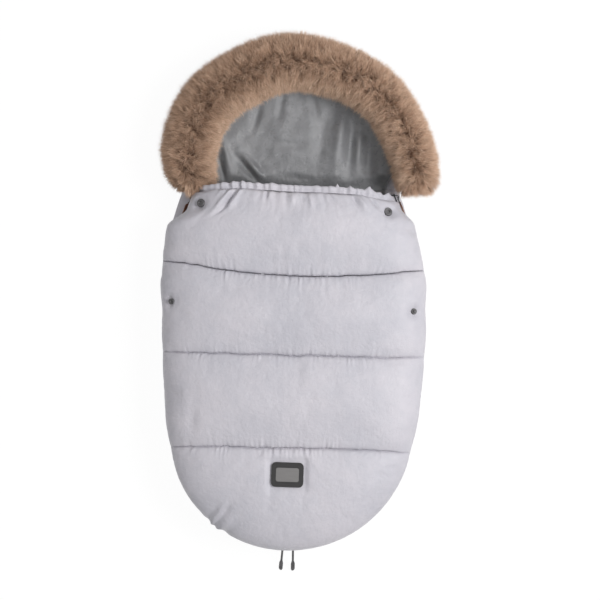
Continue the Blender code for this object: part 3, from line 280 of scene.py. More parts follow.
@dataclass(frozen=True)
class BagShape:
    """Surfaces of the bag, as functions of a flat place."""

    half_width: float = 0.227
    widest_y: float = -0.08
    side_radius: float = 0.8
    toe_y: float = -0.4346
    neck_y: float = 0.198
    tub_bowl: Bowl = Bowl(0.03, 0.84, 0.032)
    left_neck_bulge: float = 0.034
    right_neck_bulge: float = 0.018
    neck_bulge_length: float = 0.15
    neck_bulge_rise_share: float = 0.54
    edge_z: float = 0.048
    equator_z: float = 0.085
    crest_z: float = 0.15
    cover_power: float = 3.5
    overhang: float = 0.0255
    toe_sway: float = 0.008
    side_shares: tuple[tuple[float, float, float], ...] = (
        (0.0, 0.0, 0.0),
        (0.058, 0.0, 0.0),
        (0.105, 1.0, 0.59),
        (0.171, 0.88, 0.53),
        (0.25, 0.69, 0.57),
        (0.36, 0.3, 0.24),
        (0.566, 0.22, 0.1),
        (0.677, 0.38, 0.2),
        (1.0, 0.38, 0.2),
    )
    valley: float = 0.014
    seam_thickness: float = 0.012
    lining_thickness: float = 0.004
    gap: float = 0.0003
    crown_share: float = 0.8
    crown_reach_share: float = 0.86
    edge_share: float = 0.82
    edge_fade_share: float = 0.1
    undercut_turn: float = math.radians(128)
    toe_puff_length: float = 0.085
    fullness: float = 0.42
    hood_half: float = 0.206
    hood_length: float = 0.226
    hood_power: float = 2.2
    hood_sway: float = 0.01
    sway_length: float = 0.06
    lean_share: float = 0.045
    flat_share: float = 0.015
    hood_bowl: Bowl = Bowl(0.046, 0.76, 0.057)
    neck_blend: float = 0.07
    zip_z: float = 0.04

    @cached_property
    def toe_radius(self) -> float:
        """Radius of the toe's arc, which runs smoothly into the side arcs."""
        drop = self.widest_y - self.toe_y
        rest = self.side_radius**2 - (self.side_radius - self.half_width) ** 2 - drop**2
        return rest / (2 * (self.side_radius - drop))

    @cached_property
    def toe_centre_y(self) -> float:
        """Y of the toe arc's centre."""
        return self.toe_y + self.toe_radius

    @cached_property
    def side_centre_x(self) -> float:
        """Distance of a side arc's centre from the bag's middle."""
        return self.side_radius - self.half_width

    def half_at(self, y: Array) -> Array:
        """Half width of the zip line at a height on its side arcs."""
        return np.sqrt(self.side_radius**2 - (y - self.widest_y) ** 2) - self.side_centre_x

    def toe_reach(self, angle: Array) -> Array:
        """Distance from the toe's centre to the zip line, by the angle from -Y."""
        along = np.stack([np.sin(np.abs(angle)), -np.cos(angle)], -1)
        centre = np.array([-self.side_centre_x, self.widest_y - self.toe_centre_y])
        on_toe = along[..., 1] / np.maximum(along[..., 0], TINY) < centre[1] / centre[0]
        middle = along @ centre
        inside = np.maximum(middle**2 - centre @ centre + self.side_radius**2, 0)
        return np.where(on_toe, self.toe_radius, middle + np.sqrt(inside))

    def toe_outline(self, angle: Array) -> Array:
        """Points of the zip line at angles from -Y about the toe's centre, positive to the right."""
        reach = self.toe_reach(angle)
        return np.stack([reach * np.sin(angle), self.toe_centre_y - reach * np.cos(angle)], -1)

    def straight(self, upper: Seam, lower: Seam, u: Array, v: Array | float) -> Array:
        """Flat places between two seams."""
        y = lerp(upper.at(u), lower.at(u), v)
        return np.stack([u * self.half_at(y), y], -1)

    def toe_patch(self, seam: Seam, u: Array, v: Array) -> Array:
        """Flat places below the last seam.

        Args:
            seam: the patch's upper edge.
            u: shares across.
            v: shares down to the toe.

        Returns:
            One flat place for each pair of u and v.
        """
        ends = self.straight(seam, seam, np.array([-1.0, 1.0]), 0.0)
        first, last = np.arctan2(ends[:, 0], self.toe_centre_y - ends[:, 1])
        turn = QUARTER / 2
        near = self.straight(seam, seam, u, 0.0)
        far = self.toe_outline(u * turn)
        left = self.toe_outline(lerp(first, -turn, v))
        right = self.toe_outline(lerp(last, turn, v))
        return patch(u, v, (near, far, left, right), ends, self.toe_outline(np.array([-turn, turn])))

    def radial(self, flat: Array) -> tuple[Array, Array, Array, Array]:
        """Foot on the spine, direction out, reach of the zip line and share of it, for flat places."""
        foot = np.stack([np.zeros(len(flat)), np.maximum(flat[:, 1], self.toe_centre_y)], -1)
        length, out = polar(flat - foot)
        straight = flat[:, 1] >= self.toe_centre_y
        side = self.half_at(np.maximum(flat[:, 1], self.toe_centre_y))
        toe = self.toe_reach(np.arctan2(out[:, 0], -out[:, 1]))
        reach = np.where(straight, side, toe)
        return foot, out, reach, length / reach

    def overhang_at(self, y: Array, side: Array) -> Array:
        """How far the cover stands out past the zip line, by height and by side from -1 to 1."""
        marks = np.array(self.side_shares)
        t = np.clip((self.neck_y - y) / (self.neck_y - self.toe_y), 0, 1)
        index = np.clip(np.searchsorted(marks[:, 0], t) - 1, 0, len(marks) - 2)
        start, end = marks[index], marks[index + 1]
        s = smooth((t - start[:, 0]) / (end[:, 0] - start[:, 0]))
        left, right = (lerp(start[:, k], end[:, k], s) for k in (1, 2))
        return self.overhang * lerp(left, right, (side + 1) / 2)

    def cover(self, flat: Array, sink: float | Array, valley: float | Array) -> Array:
        """Points of the cover's dome.

        Args:
            flat: flat places.
            sink: depth below the crests.
            valley: the quilting's part of the depth, which fades at the zip.

        Returns:
            Points in space.
        """
        foot, out, reach, share = self.radial(flat)
        overhang = self.overhang_at(flat[:, 1], out[:, 0])
        half_power = self.cover_power / 2
        crown_turn = math.asin(self.crown_reach_share**half_power)
        inner = np.minimum(self.crown_reach_share * share / self.crown_share, 1.0)
        past = (share - self.crown_share) / (1 - self.crown_share)
        outer = lerp(crown_turn, self.undercut_turn, past)
        turn = np.where(share <= self.crown_share, np.arcsin(inner**half_power), outer)
        up = np.minimum(turn, QUARTER)
        dome_radius = (reach + overhang) * np.sin(up) ** (1 / half_power)
        height = np.maximum(np.cos(up), 0) ** (1 / half_power)
        dome_z = self.equator_z + (self.crest_z - self.equator_z) * height
        under = np.clip((turn - QUARTER) / (self.undercut_turn - QUARTER), 0, 1)
        below = turn > QUARTER
        radius = np.where(below, reach + overhang * (1 - under**2), dome_radius)
        z = np.where(below, lerp(self.equator_z, self.edge_z, under), dome_z)
        depth = sink + valley * (1 - smooth((share - self.edge_share) / self.edge_fade_share))
        place = foot + out * (radius - depth * np.sin(up))[:, None]
        low = smooth((self.widest_y - flat[:, 1]) / (self.widest_y - self.toe_y))
        sway = self.toe_sway * low * np.sin(math.pi * turn / self.undercut_turn)
        return np.stack([place[:, 0] - sway, place[:, 1], z - depth * np.cos(up)], -1)

    def tub(self, flat: Array, depth: float) -> Array:
        """Points of the tub at a depth inside its outer skin."""
        foot, out, reach, share = self.radial(flat)
        rise_length = self.neck_bulge_length * self.neck_bulge_rise_share
        bulge = np.where(flat[:, 0] < 0, self.left_neck_bulge, self.right_neck_bulge) * (depth == 0)
        bulge *= smooth((flat[:, 1] - self.neck_y + self.neck_bulge_length) / rise_length)
        radius, z = self.tub_bowl.section(reach, share, depth, bulge)
        return np.column_stack([foot + out * radius[:, None], z])

    def ring_reach(self, angle: Array, half: float, length: float) -> Array:
        """Reach of the hood's outline, or of the fur's middle line, at angles from +X."""
        across = np.abs(np.cos(angle)) / half
        along = np.abs(np.sin(angle)) / length
        reach = (across**self.hood_power + along**self.hood_power) ** (-1 / self.hood_power)
        lean = self.lean_share * np.sin(2 * angle) + self.flat_share * np.abs(np.sin(2 * angle))
        return reach * (1 - lean)

    def hood_outline(self, angle: Array) -> Array:
        """Flat points of the hood's outline at angles from +X."""
        reach = self.ring_reach(angle, self.hood_half, self.hood_length)
        return np.stack([reach * np.cos(angle), reach * np.sin(angle)], -1)

    def hood_flat(self, u: Array, v: Array) -> Array:
        """Flat places in the hood, about the middle of the neck."""
        turn = QUARTER / 2
        near = np.stack([u * self.hood_half, np.zeros_like(u)], -1)
        far = self.hood_outline(QUARTER - u * turn)
        left, right = self.hood_outline(math.pi - v * turn), self.hood_outline(v * turn)
        near_ends = np.array([[-self.hood_half, 0.0], [self.hood_half, 0.0]])
        far_ends = self.hood_outline(np.array([QUARTER + turn, QUARTER - turn]))
        return patch(u, v, (near, far, left, right), near_ends, far_ends)

    def hood(self, flat: Array, depth: float) -> Array:
        """Points of the hood's bowl at a depth, drawn in to meet the tub at the neck."""
        away = np.stack([flat[:, 0], np.maximum(flat[:, 1], 0)], -1)
        length, out = polar(away)
        reach = self.ring_reach(np.arctan2(away[:, 1], away[:, 0]), self.hood_half, self.hood_length)
        radius, z = self.hood_bowl.section(reach, length / reach, depth)
        place = out * radius[:, None]
        sway = self.hood_sway * smooth(place[:, 1] / self.sway_length)
        bowl = np.stack([place[:, 0] + sway, place[:, 1] + self.neck_y + self.gap, z], -1)
        across = flat[:, 0] / self.hood_half * self.half_at(self.neck_y)
        neck = self.tub(np.stack([across, np.full(len(flat), self.neck_y)], -1), depth)
        neck[:, 1] = bowl[:, 1]
        return lerp(neck, bowl, smooth(flat[:, 1] / self.neck_blend)[:, None])

    def side_path(self, side: int, top_y: float, toe_end: float, step: float) -> Array:
        """Flat points along one side's zip, evenly spaced.

        Args:
            side: sign of X.
            top_y: height of its upper end.
            toe_end: angle from -Y where it ends on the toe.
            step: spacing of the points.

        Returns:
            Flat points from the top down.
        """
        high = math.asin((top_y - self.widest_y) / self.side_radius)
        junction = math.asin((self.toe_centre_y - self.widest_y) / (self.side_radius - self.toe_radius))
        count = round((high - junction) * self.side_radius / step)
        turns = np.linspace(high, junction, count, endpoint=False)
        x = self.side_radius * np.cos(turns) - self.side_centre_x
        points = np.stack([side * x, self.widest_y + self.side_radius * np.sin(turns)], -1)
        start = QUARTER + junction
        count = round((start - toe_end) * self.toe_radius / step)
        return np.concatenate([points, self.toe_outline(side * np.linspace(start, toe_end, count))])


BAG = BagShape()
HEM_SEAM = Seam(0.1885, -0.009, 0.01, 0.026)
CASING_WIDTH = 0.0125
SEAM_1 = Seam(0.042, -0.0098, 0.023)
SEAM_2 = Seam(-0.0965, -0.0058, 0.0007)
SEAM_3 = Seam(-0.2555, -0.0058, -0.0047)
JOIN_GAP = 0.0006


# Shader groups


class Nodes:
    """Writes nodes and links in one node tree."""

    def __init__(self, tree: bpy.types.NodeTree) -> None:
        """Starts in an empty tree."""
        self.tree = tree
        tree.nodes.clear()

    def add(self, kind: str, values: dict | None = None, **settings: object) -> bpy.types.Node:
        """Adds a node.

        Args:
            kind: the node type's name after ShaderNode.
            values: socket name or number to a value or to the output socket that feeds it.
            settings: attributes of the node.

        Returns:
            The new node.
        """
        full = kind if kind.startswith("Node") else "ShaderNode" + kind
        node = self.tree.nodes.new(full)
        for key, value in settings.items():
            setattr(node, key, value)
        for key, value in (values or {}).items():
            if isinstance(value, bpy.types.NodeSocket):
                self.tree.links.new(value, node.inputs[key])
            else:
                node.inputs[key].default_value = value
        return node

    def math(self, operation: str, *values: object) -> bpy.types.NodeSocket:
        """Output of a Math node on one to three values."""
        return self.add("Math", dict(enumerate(values)), operation=operation).outputs[0]

    def mix(self, factor: object, a: object, b: object) -> bpy.types.NodeSocket:
        """Output of a colour mix."""
        return self.add("Mix", {0: factor, 6: a, 7: b}, data_type="RGBA").outputs[2]

    def ramp(self, value: object, stops: Sequence[tuple[float, Colour]]) -> bpy.types.NodeSocket:
        """Output of a colour ramp with the given stops."""
        node = self.add("ValToRGB", {0: value})
        elements = node.color_ramp.elements
        while len(elements) < len(stops):
            elements.new(1.0)
        for element, (place, colour) in zip(elements, stops):
            element.position = place
            element.color = (*colour, 1)
        return node.outputs[0]


def new_group(
    name: str, inputs: dict[str, float], output: str
) -> tuple[bpy.types.NodeTree, Nodes, bpy.types.NodeOutputs]:
    """A node group with a Vector input, more inputs and one float output.

    Args:
        name: the group's name.
        inputs: float inputs and their defaults.
        output: name of the output.

    Returns:
        The group, a writer for its nodes and the inputs as they are inside it.
    """
    group = bpy.data.node_groups.new(name, "ShaderNodeTree")
    group.interface.new_socket("Vector", in_out="INPUT", socket_type="NodeSocketVector")
    for key, default in inputs.items():
        socket = group.interface.new_socket(key, in_out="INPUT", socket_type="NodeSocketFloat")
        socket.default_value = default
    group.interface.new_socket(output, in_out="OUTPUT", socket_type="NodeSocketFloat")
    n = Nodes(group)
    return group, n, n.add("NodeGroupInput").outputs


def weave_group() -> bpy.types.NodeTree:
    """Plain weave: height of crossing threads, by their pitch in metres."""
    group, n, given = new_group("weave", {"Pitch": 0.0008}, "Height")
    parts = n.add("SeparateXYZ", {0: given["Vector"]}).outputs
    turn = n.math("DIVIDE", 2 * math.pi, given["Pitch"])
    warp = n.math("SINE", n.math("MULTIPLY", n.math("ADD", parts[0], parts[2]), turn))
    weft = n.math("SINE", n.math("MULTIPLY", n.math("ADD", parts[1], parts[2]), turn))
    height = n.math("MULTIPLY_ADD", n.math("MULTIPLY", warp, weft), 0.5, 0.5)
    n.add("NodeGroupOutput", {"Height": height})
    return group


def mottle_group() -> bpy.types.NodeTree:
    """Cloudy mask of two sizes of noise."""
    group, n, given = new_group("mottle", {"Scale": 10.0, "Fine": 80.0, "Share": 0.3}, "Mask")
    wide = n.add("TexNoise", {"Vector": given["Vector"], "Scale": given["Scale"], "Detail": 3.0})
    fine = n.add("TexNoise", {"Vector": given["Vector"], "Scale": given["Fine"], "Detail": 4.0})
    mask = n.add("Mix", {0: given["Share"], 2: wide.outputs[0], 3: fine.outputs[0]}).outputs[0]
    sharp = n.add("MapRange", {"Value": mask, "From Min": 0.35, "From Max": 0.65}).outputs[0]
    n.add("NodeGroupOutput", {"Mask": sharp})
    return group


def grain_group() -> bpy.types.NodeTree:
    """Leather grain: pebbles with creases between, by their number in a metre."""
    group, n, given = new_group("grain", {"Scale": 900.0}, "Height")
    values = {"Vector": given["Vector"], "Scale": given["Scale"]}
    pebbles = n.add("TexVoronoi", values, feature="DISTANCE_TO_EDGE").outputs[0]
    crease = n.add("MapRange", {"Value": pebbles, "From Max": 0.25}).outputs[0]
    n.add("NodeGroupOutput", {"Height": crease})
    return group


def brush_group() -> bpy.types.NodeTree:
    """Brushed metal: long fine streaks along X."""
    group, n, given = new_group("brush", {"Scale": 2500.0}, "Mask")
    long = n.add("Mapping", {"Vector": given["Vector"], "Scale": (0.02, 1.0, 1.0)}).outputs[0]
    streaks = n.add("TexNoise", {"Vector": long, "Scale": given["Scale"], "Detail": 2.0}).outputs[0]
    n.add("NodeGroupOutput", {"Mask": streaks})
    return group


class Groups:
    """The shader groups, each made once."""

    def __init__(self) -> None:
        """Makes every group."""
        self.weave = weave_group()
        self.mottle = mottle_group()
        self.grain = grain_group()
        self.brush = brush_group()


GROUPS = Groups()


# Finishes


def principled(name: str) -> tuple[bpy.types.Material, Nodes, bpy.types.Node, bpy.types.NodeSocket]:
    """A material with a Principled shader.

    Args:
        name: the material's name.

    Returns:
        The material, a writer for its nodes, the shader and the Object coordinates.
    """
    material = bpy.data.materials.new(name)
    material.use_nodes = True
    n = Nodes(material.node_tree)
    shader = n.add("BsdfPrincipled")
    n.add("OutputMaterial", {"Surface": shader.outputs[0]})
    place = n.add("TexCoord").outputs["Object"]
    return material, n, shader, place


def use_group(n: Nodes, group: bpy.types.NodeTree, place: object, **values: float) -> bpy.types.NodeSocket:
    """First output of a group placed in a material."""
    node = n.add("Group", node_tree=group)
    n.tree.links.new(place, node.inputs["Vector"])
    for key, value in values.items():
        node.inputs[key].default_value = value
    return node.outputs[0]


def bump(n: Nodes, shader: bpy.types.Node, layers: Iterable[tuple[object, float]]) -> None:
    """Adds bumps to a shader, each a height and its depth in metres."""
    normal = None
    for height, depth in layers:
        node = n.add("Bump", {"Height": height, "Distance": depth, "Strength": 1.0})
        if normal is not None:
            n.tree.links.new(normal, node.inputs["Normal"])
        normal = node.outputs[0]
    n.tree.links.new(normal, shader.inputs["Normal"])


def tone(n: Nodes, shader: bpy.types.Node, mask: object, dark: Colour, light: Colour) -> None:
    """Colours a shader from dark to light by a mask."""
    n.tree.links.new(n.mix(mask, (*dark, 1), (*light, 1)), shader.inputs["Base Color"])


def polish(n: Nodes, shader: bpy.types.Node, mask: object, low: float, high: float) -> None:
    """Roughens a shader from low to high by a mask."""
    rough = n.add("MapRange", {"Value": mask, "To Min": low, "To Max": high})
    n.tree.links.new(rough.outputs[0], shader.inputs["Roughness"])


def set_plain(shader: bpy.types.Node, values: dict[str, float]) -> None:
    """Sets inputs of a shader that nothing feeds."""
    for key, value in values.items():
        shader.inputs[key].default_value = value


@dataclass(frozen=True)
class ClothFinish:
    """Woven cloth with cloudy tone, creasing and a thread bump."""

    name: str
    slot: str
    light: Colour
    dark: Colour
    roughness: float
    sheen: float
    pitch: float
    cloud: float = 9.0
    crease: float = 0.0006
    spread: float = 0.07
    thread_share: float = 0.12

    def build(self) -> bpy.types.Material:
        """Makes the material."""
        material, n, shader, place = principled(self.name)
        cloud = use_group(n, GROUPS.mottle, place, Scale=self.cloud, Fine=70.0)
        tone(n, shader, cloud, self.dark, self.light)
        crumple = use_group(n, GROUPS.mottle, place, Scale=45.0, Fine=160.0, Share=0.45)
        polish(n, shader, crumple, self.roughness - self.spread, self.roughness + self.spread)
        thread = use_group(n, GROUPS.weave, place, Pitch=self.pitch)
        bump(n, shader, [(crumple, self.crease), (thread, self.pitch * self.thread_share)])
        set_plain(shader, {"Sheen Weight": self.sheen, "Sheen Roughness": 0.4})
        return material


@dataclass(frozen=True)
class FurFinish:
    """Fur hair: dark at the root and light at the tip, with tufts and single hairs of their own tone; the
    tone also holds painted light, lighter towards +X, and painted shade at the edges of tufts.
    """

    name: str = "faux_fur"
    slot: str = "brown_fur"
    root: Colour = (0.15, 0.086, 0.054)
    middle: Colour = (0.54, 0.352, 0.24)
    tip: Colour = (0.8, 0.59, 0.44)

    def build(self) -> bpy.types.Material:
        """Makes the material."""
        material, n, shader, _ = principled(self.name)
        own_tone = n.add("Attribute", attribute_name="tone").outputs["Fac"]
        colour = n.ramp(own_tone, ((0.0, self.root), (0.5, self.middle), (1.0, self.tip)))
        n.tree.links.new(colour, shader.inputs["Base Color"])
        set_plain(shader, {"Roughness": 0.62, "Specular IOR Level": 0.3, "Sheen Weight": 0.15})
        return material


@dataclass(frozen=True)
class LeatherFinish:
    """Brown leather with a pebbled grain and darker, worn patches."""

    name: str = "brown_leather"
    slot: str = "brown_leather"
    light: Colour = (0.235, 0.098, 0.045)
    dark: Colour = (0.12, 0.05, 0.026)
    smoothest: float = 0.42
    roughest: float = 0.6
    grain_depth: float = 0.00012

    def build(self) -> bpy.types.Material:
        """Makes the material."""
        material, n, shader, place = principled(self.name)
        cloud = use_group(n, GROUPS.mottle, place, Scale=70.0, Fine=400.0)
        tone(n, shader, cloud, self.dark, self.light)
        polish(n, shader, cloud, self.smoothest, self.roughest)
        grain = use_group(n, GROUPS.grain, place, Scale=1100.0)
        bump(n, shader, [(grain, self.grain_depth)])
        return material


@dataclass(frozen=True)
class MetalFinish:
    """Plated or brushed metal with uneven polish."""

    name: str
    slot: str
    light: Colour
    dark: Colour
    roughness: float
    brushed: bool = False
    spread: float = 0.08
    scratch_depth: float = 0.00002

    def build(self) -> bpy.types.Material:
        """Makes the material."""
        material, n, shader, place = principled(self.name)
        group = GROUPS.brush if self.brushed else GROUPS.mottle
        scale = 2500.0 if self.brushed else 120.0
        mask = use_group(n, group, place, Scale=scale)
        tone(n, shader, mask, self.dark, self.light)
        polish(n, shader, mask, self.roughness - self.spread, self.roughness + self.spread)
        bump(n, shader, [(mask, self.scratch_depth)])
        set_plain(shader, {"Metallic": 1.0})
        return material


@dataclass(frozen=True)
class MouldedFinish:
    """Moulded rubber or nylon with a fine spark-eroded skin."""

    name: str
    slot: str
    light: Colour
    dark: Colour
    roughness: float
    skin: float = 1800.0
    skin_depth: float = 0.00008
    spread: float = 0.1

    def build(self) -> bpy.types.Material:
        """Makes the material."""
        material, n, shader, place = principled(self.name)
        cloud = use_group(n, GROUPS.mottle, place, Scale=60.0, Fine=self.skin)
        tone(n, shader, cloud, self.dark, self.light)
        fine = n.add("TexNoise", {"Vector": place, "Scale": self.skin, "Detail": 2.0}).outputs[0]
        polish(n, shader, fine, self.roughness - self.spread, self.roughness + self.spread)
        bump(n, shader, [(fine, self.skin_depth)])
        return material


Finish = ClothFinish | FurFinish | LeatherFinish | MetalFinish | MouldedFinish

PEARL = ClothFinish(
    "pearl_nylon", "pearl_quilt", (0.572, 0.55, 0.594), (0.492, 0.484, 0.532), 0.46, 0.1, 0.0007
)
LINING = ClothFinish(
    "grey_lining", "grey_lining", (0.29, 0.292, 0.302), (0.19, 0.192, 0.201), 0.31, 0.2, 0.0009
)
BACKING = ClothFinish("fur_backing", "fur_backing", (0.16, 0.11, 0.08), (0.1, 0.07, 0.05), 0.9, 0.1, 0.0014)
TAPE = ClothFinish("zip_tape", "zip_tape", (0.5, 0.48, 0.53), (0.42, 0.405, 0.45), 0.8, 0.1, 0.0011)
# partly real thread, partly painted shade: the thread is coloured darker than the pearl cloth so that the
# seam lines read as shaded grooves
THREAD_AND_SEAM_SHADE = ClothFinish(
    "thread", "pearl_quilt", (0.235, 0.225, 0.255), (0.18, 0.172, 0.198), 0.6, 0.1, 0.0004
)
FUR = FurFinish()
LEATHER = LeatherFinish()
GUNMETAL = MetalFinish("gunmetal", "gunmetal", (0.125, 0.122, 0.125), (0.07, 0.068, 0.07), 0.44)
PLATE = MetalFinish(
    "brushed_plate", "brushed_plate", (0.188, 0.182, 0.181), (0.132, 0.128, 0.127), 0.42, True
)
RUBBER = MouldedFinish("dark_rubber", "dark_rubber", (0.014, 0.013, 0.0135), (0.009, 0.008, 0.0085), 0.66)
NYLON = MouldedFinish("zip_nylon", "zip_tape", (0.48, 0.465, 0.51), (0.4, 0.39, 0.43), 0.38)


class Workshop:
    """Keeps the materials and parents finished pieces to their bodies, except flap pieces, whose transforms
    are applied.
    """

    def __init__(self) -> None:
        """Starts with no material made."""
        self.made: dict[str, bpy.types.Material] = {}

    def material(self, finish: Finish) -> bpy.types.Material:
        """The finish's material, made on first use."""
        if finish.name not in self.made:
            self.made[finish.name] = finish.build()
        return self.made[finish.name]

    def dress(self, node: str, finish: Finish) -> None:
        """Gives a CAD node its finish."""
        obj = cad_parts[node]
        obj.data.materials.clear()
        obj.data.materials.append(self.material(finish))
        LOG.info("dressed %s in %s", node, finish.name)

    def settle(
        self,
        obj: bpy.types.Object,
        finish: Finish,
        body: str,
        replaces: Sequence[str] = (),
    ) -> bpy.types.Object:
        """Finishes a piece and parents it to its body; a flap piece only has its transform applied.

        Args:
            obj: the piece, in place.
            finish: its finish.
            body: the body that it rides on.
            replaces: CAD nodes that it stands for.

        Returns:
            The piece.
        """
        obj.data.materials.clear()
        obj.data.materials.append(self.material(finish))
        if body == Body.FLAP.value:
            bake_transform(obj)
        else:
            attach(obj, body)
        if replaces:
            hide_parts(*replaces)
        LOG.info("%s: %d faces on %s", obj.name, len(obj.data.polygons), body)
        return obj


SHOP = Workshop()


# Mesh tools


def link(name: str, mesh: bpy.types.Mesh, soft: bool = True) -> bpy.types.Object:
    """An object for a mesh, shaded smooth where it is soft."""
    obj = bpy.data.objects.new(name, mesh)
    bpy.context.scene.collection.objects.link(obj)
    if soft:
        mesh.shade_smooth()
    return obj


def coordinates(mesh: bpy.types.Mesh, kind: str = "co") -> Array:
    """Vertex places of a mesh, or their normals, one row each."""
    values = np.zeros(len(mesh.vertices) * 3, np.float32)
    mesh.vertices.foreach_get(kind, values)
    return values.reshape(-1, 3).astype(float)


def place_all(mesh: bpy.types.Mesh, places: Array) -> None:
    """Writes all vertex places of a mesh."""
    mesh.vertices.foreach_set("co", places.astype(np.float32).ravel())
    mesh.update()


def new_mesh(name: str, bm: bmesh.types.BMesh) -> bpy.types.Mesh:
    """A new mesh of a bmesh, which is freed."""
    mesh = bpy.data.meshes.new(name)
    bm.to_mesh(mesh)
    bm.free()
    return mesh


def unit_grid(name: str, columns: int, rows: int) -> tuple[bpy.types.Mesh, Array]:
    """A level grid from -1 to 1 each way, as a mesh, with its vertex places."""
    bm = bmesh.new()
    bmesh.ops.create_grid(bm, x_segments=columns, y_segments=rows, size=1)
    mesh = new_mesh(name, bm)
    return mesh, coordinates(mesh)


def close(mesh: bpy.types.Mesh, gap: float) -> None:
    """Joins vertices nearer than the gap, fills open ends and turns the faces outwards."""
    bm = bmesh.new()
    bm.from_mesh(mesh)
    bmesh.ops.remove_doubles(bm, verts=bm.verts[:], dist=gap)
    bmesh.ops.holes_fill(bm, edges=[edge for edge in bm.edges if edge.is_boundary], sides=0)
    bmesh.ops.recalc_face_normals(bm, faces=bm.faces[:])
    bm.to_mesh(mesh)
    bm.free()


def evaluated(obj: bpy.types.Object) -> bpy.types.Mesh:
    """A new mesh of an object with its modifiers; the object is removed."""
    graph = bpy.context.evaluated_depsgraph_get()
    mesh = bpy.data.meshes.new_from_object(obj.evaluated_get(graph))
    bpy.data.objects.remove(obj, do_unlink=True)
    return mesh


def copies(template: bmesh.types.BMesh, count: int, name: str) -> tuple[bpy.types.Mesh, Array]:
    """Many copies of a small shape in one mesh.

    Args:
        template: the shape; it is freed.
        count: number of copies.
        name: name of the mesh.

    Returns:
        The mesh, whose vertices come copy by copy, and the template's own places.
    """
    mesh = new_mesh(name, template)
    own = coordinates(mesh)
    obj = link(name + "_template", mesh)
    array = obj.modifiers.new("row", "ARRAY")
    array.count = count
    array.use_relative_offset = False
    made = evaluated(obj)
    made.name = name
    return made, own


def place_copies(name: str, template: bmesh.types.BMesh, origins: Array, axes: Array) -> bpy.types.Object:
    """Copies of a small rigid shape, each at its own place and turn.

    Args:
        name: name of the piece.
        template: the shape.
        origins: one place for each copy.
        axes: one row of three axes for each copy.

    Returns:
        The piece.
    """
    mesh, own = copies(template, len(origins), name)
    places = origins[:, None, :] + np.einsum("vk,nkc->nvc", own, axes)
    place_all(mesh, places.reshape(-1, 3))
    return link(name, mesh, False)


def rounded_block(size: Sequence[float], edge: float, segments: int = 1) -> bmesh.types.BMesh:
    """A box about the origin with rounded edges."""
    bm = bmesh.new()
    bmesh.ops.create_cube(bm, size=1)
    bmesh.ops.scale(bm, vec=Vector(size), verts=bm.verts)
    bmesh.ops.bevel(
        bm, geom=bm.edges[:], offset=edge, segments=segments, affect="EDGES", profile=0.5, material=-1
    )
    return bm


@dataclass
class Slab:
    """A closed panel made from a grid: its outer skin, its inner skin and the walls between them.

    flat and full hold one flat place and one fullness for each row and column of the grid.
    """

    name: str
    flat: Array
    full: Array
    holes: Callable[[Array], Array] | None = None

    def grid(self, thick: bool) -> tuple[bpy.types.Mesh, Array, Array]:
        """The grid as a mesh, one sheet or two joined at the borders.

        Args:
            thick: whether to make it a closed panel.

        Returns:
            The mesh, each vertex's index in the flat places, and whether it is on the outer skin.
        """
        rows, columns = self.full.shape
        bm = bmesh.new()
        bmesh.ops.create_grid(bm, x_segments=columns - 1, y_segments=rows - 1, size=1)
        index = bm.verts.layers.int.new("index")
        for vert in bm.verts:
            column = round((vert.co.x + 1) / 2 * (columns - 1))
            vert[index] = round((vert.co.y + 1) / 2 * (rows - 1)) * columns + column
        if self.holes is not None:
            places = self.flat.reshape(-1, 2)
            middles = np.array([np.mean([places[v[index]] for v in f.verts], axis=0) for f in bm.faces])
            inside = self.holes(middles)
            lost = [face for face, gone in zip(bm.faces[:], inside) if gone]
            bmesh.ops.delete(bm, geom=lost, context="FACES")
        raised = bm.verts.layers.int.new("raised")
        if thick:
            made = bmesh.ops.extrude_face_region(bm, geom=bm.faces[:])["geom"]
            for item in made:
                if isinstance(item, bmesh.types.BMVert):
                    item[raised] = 1
        mesh = new_mesh(self.name, bm)
        numbers, flags = np.zeros((2, len(mesh.vertices)), np.int32)
        for attribute, values in (("index", numbers), ("raised", flags)):
            mesh.attributes[attribute].data.foreach_get("value", values)
            mesh.attributes.remove(mesh.attributes[attribute])
        return mesh, numbers, flags.astype(bool)

    def build(self, outer: Array, inner: Array) -> bpy.types.Object:
        """The closed panel.

        Args:
            outer: points of the outer skin, one for each flat place.
            inner: points of the inner skin.

        Returns:
            The object, with its faces outwards.
        """
        mesh, numbers, flags = self.grid(True)
        place_all(mesh, np.where(flags[:, None], outer[numbers], inner[numbers]))
        bm = bmesh.new()
        bm.from_mesh(mesh)
        bmesh.ops.recalc_face_normals(bm, faces=bm.faces[:])
        if bm.calc_volume(signed=True) < 0:
            bmesh.ops.reverse_faces(bm, faces=bm.faces[:])
        bm.to_mesh(mesh)
        bm.free()
        return link(self.name, mesh)

    def moves(self, points: Array, held: Array, inflation: "Inflation", upward: bool) -> Array:
        """Args:
            points: the skin, one point for each flat place.
            held: how firmly each point is held, from 0 to 1.
            inflation: how it is blown up.
            upward: whether its outside faces up.

        Returns:
            One move for each point.
        """
        moves = np.zeros_like(points)
        mesh, numbers, _ = self.grid(False)
        place_all(mesh, points[numbers])
        if (coordinates(mesh, "normal")[:, 2].mean() > 0) != upward:
            mesh.flip_normals()
        moves[numbers] = inflation.run(link(self.name + "_cloth", mesh), held[numbers])
        return moves


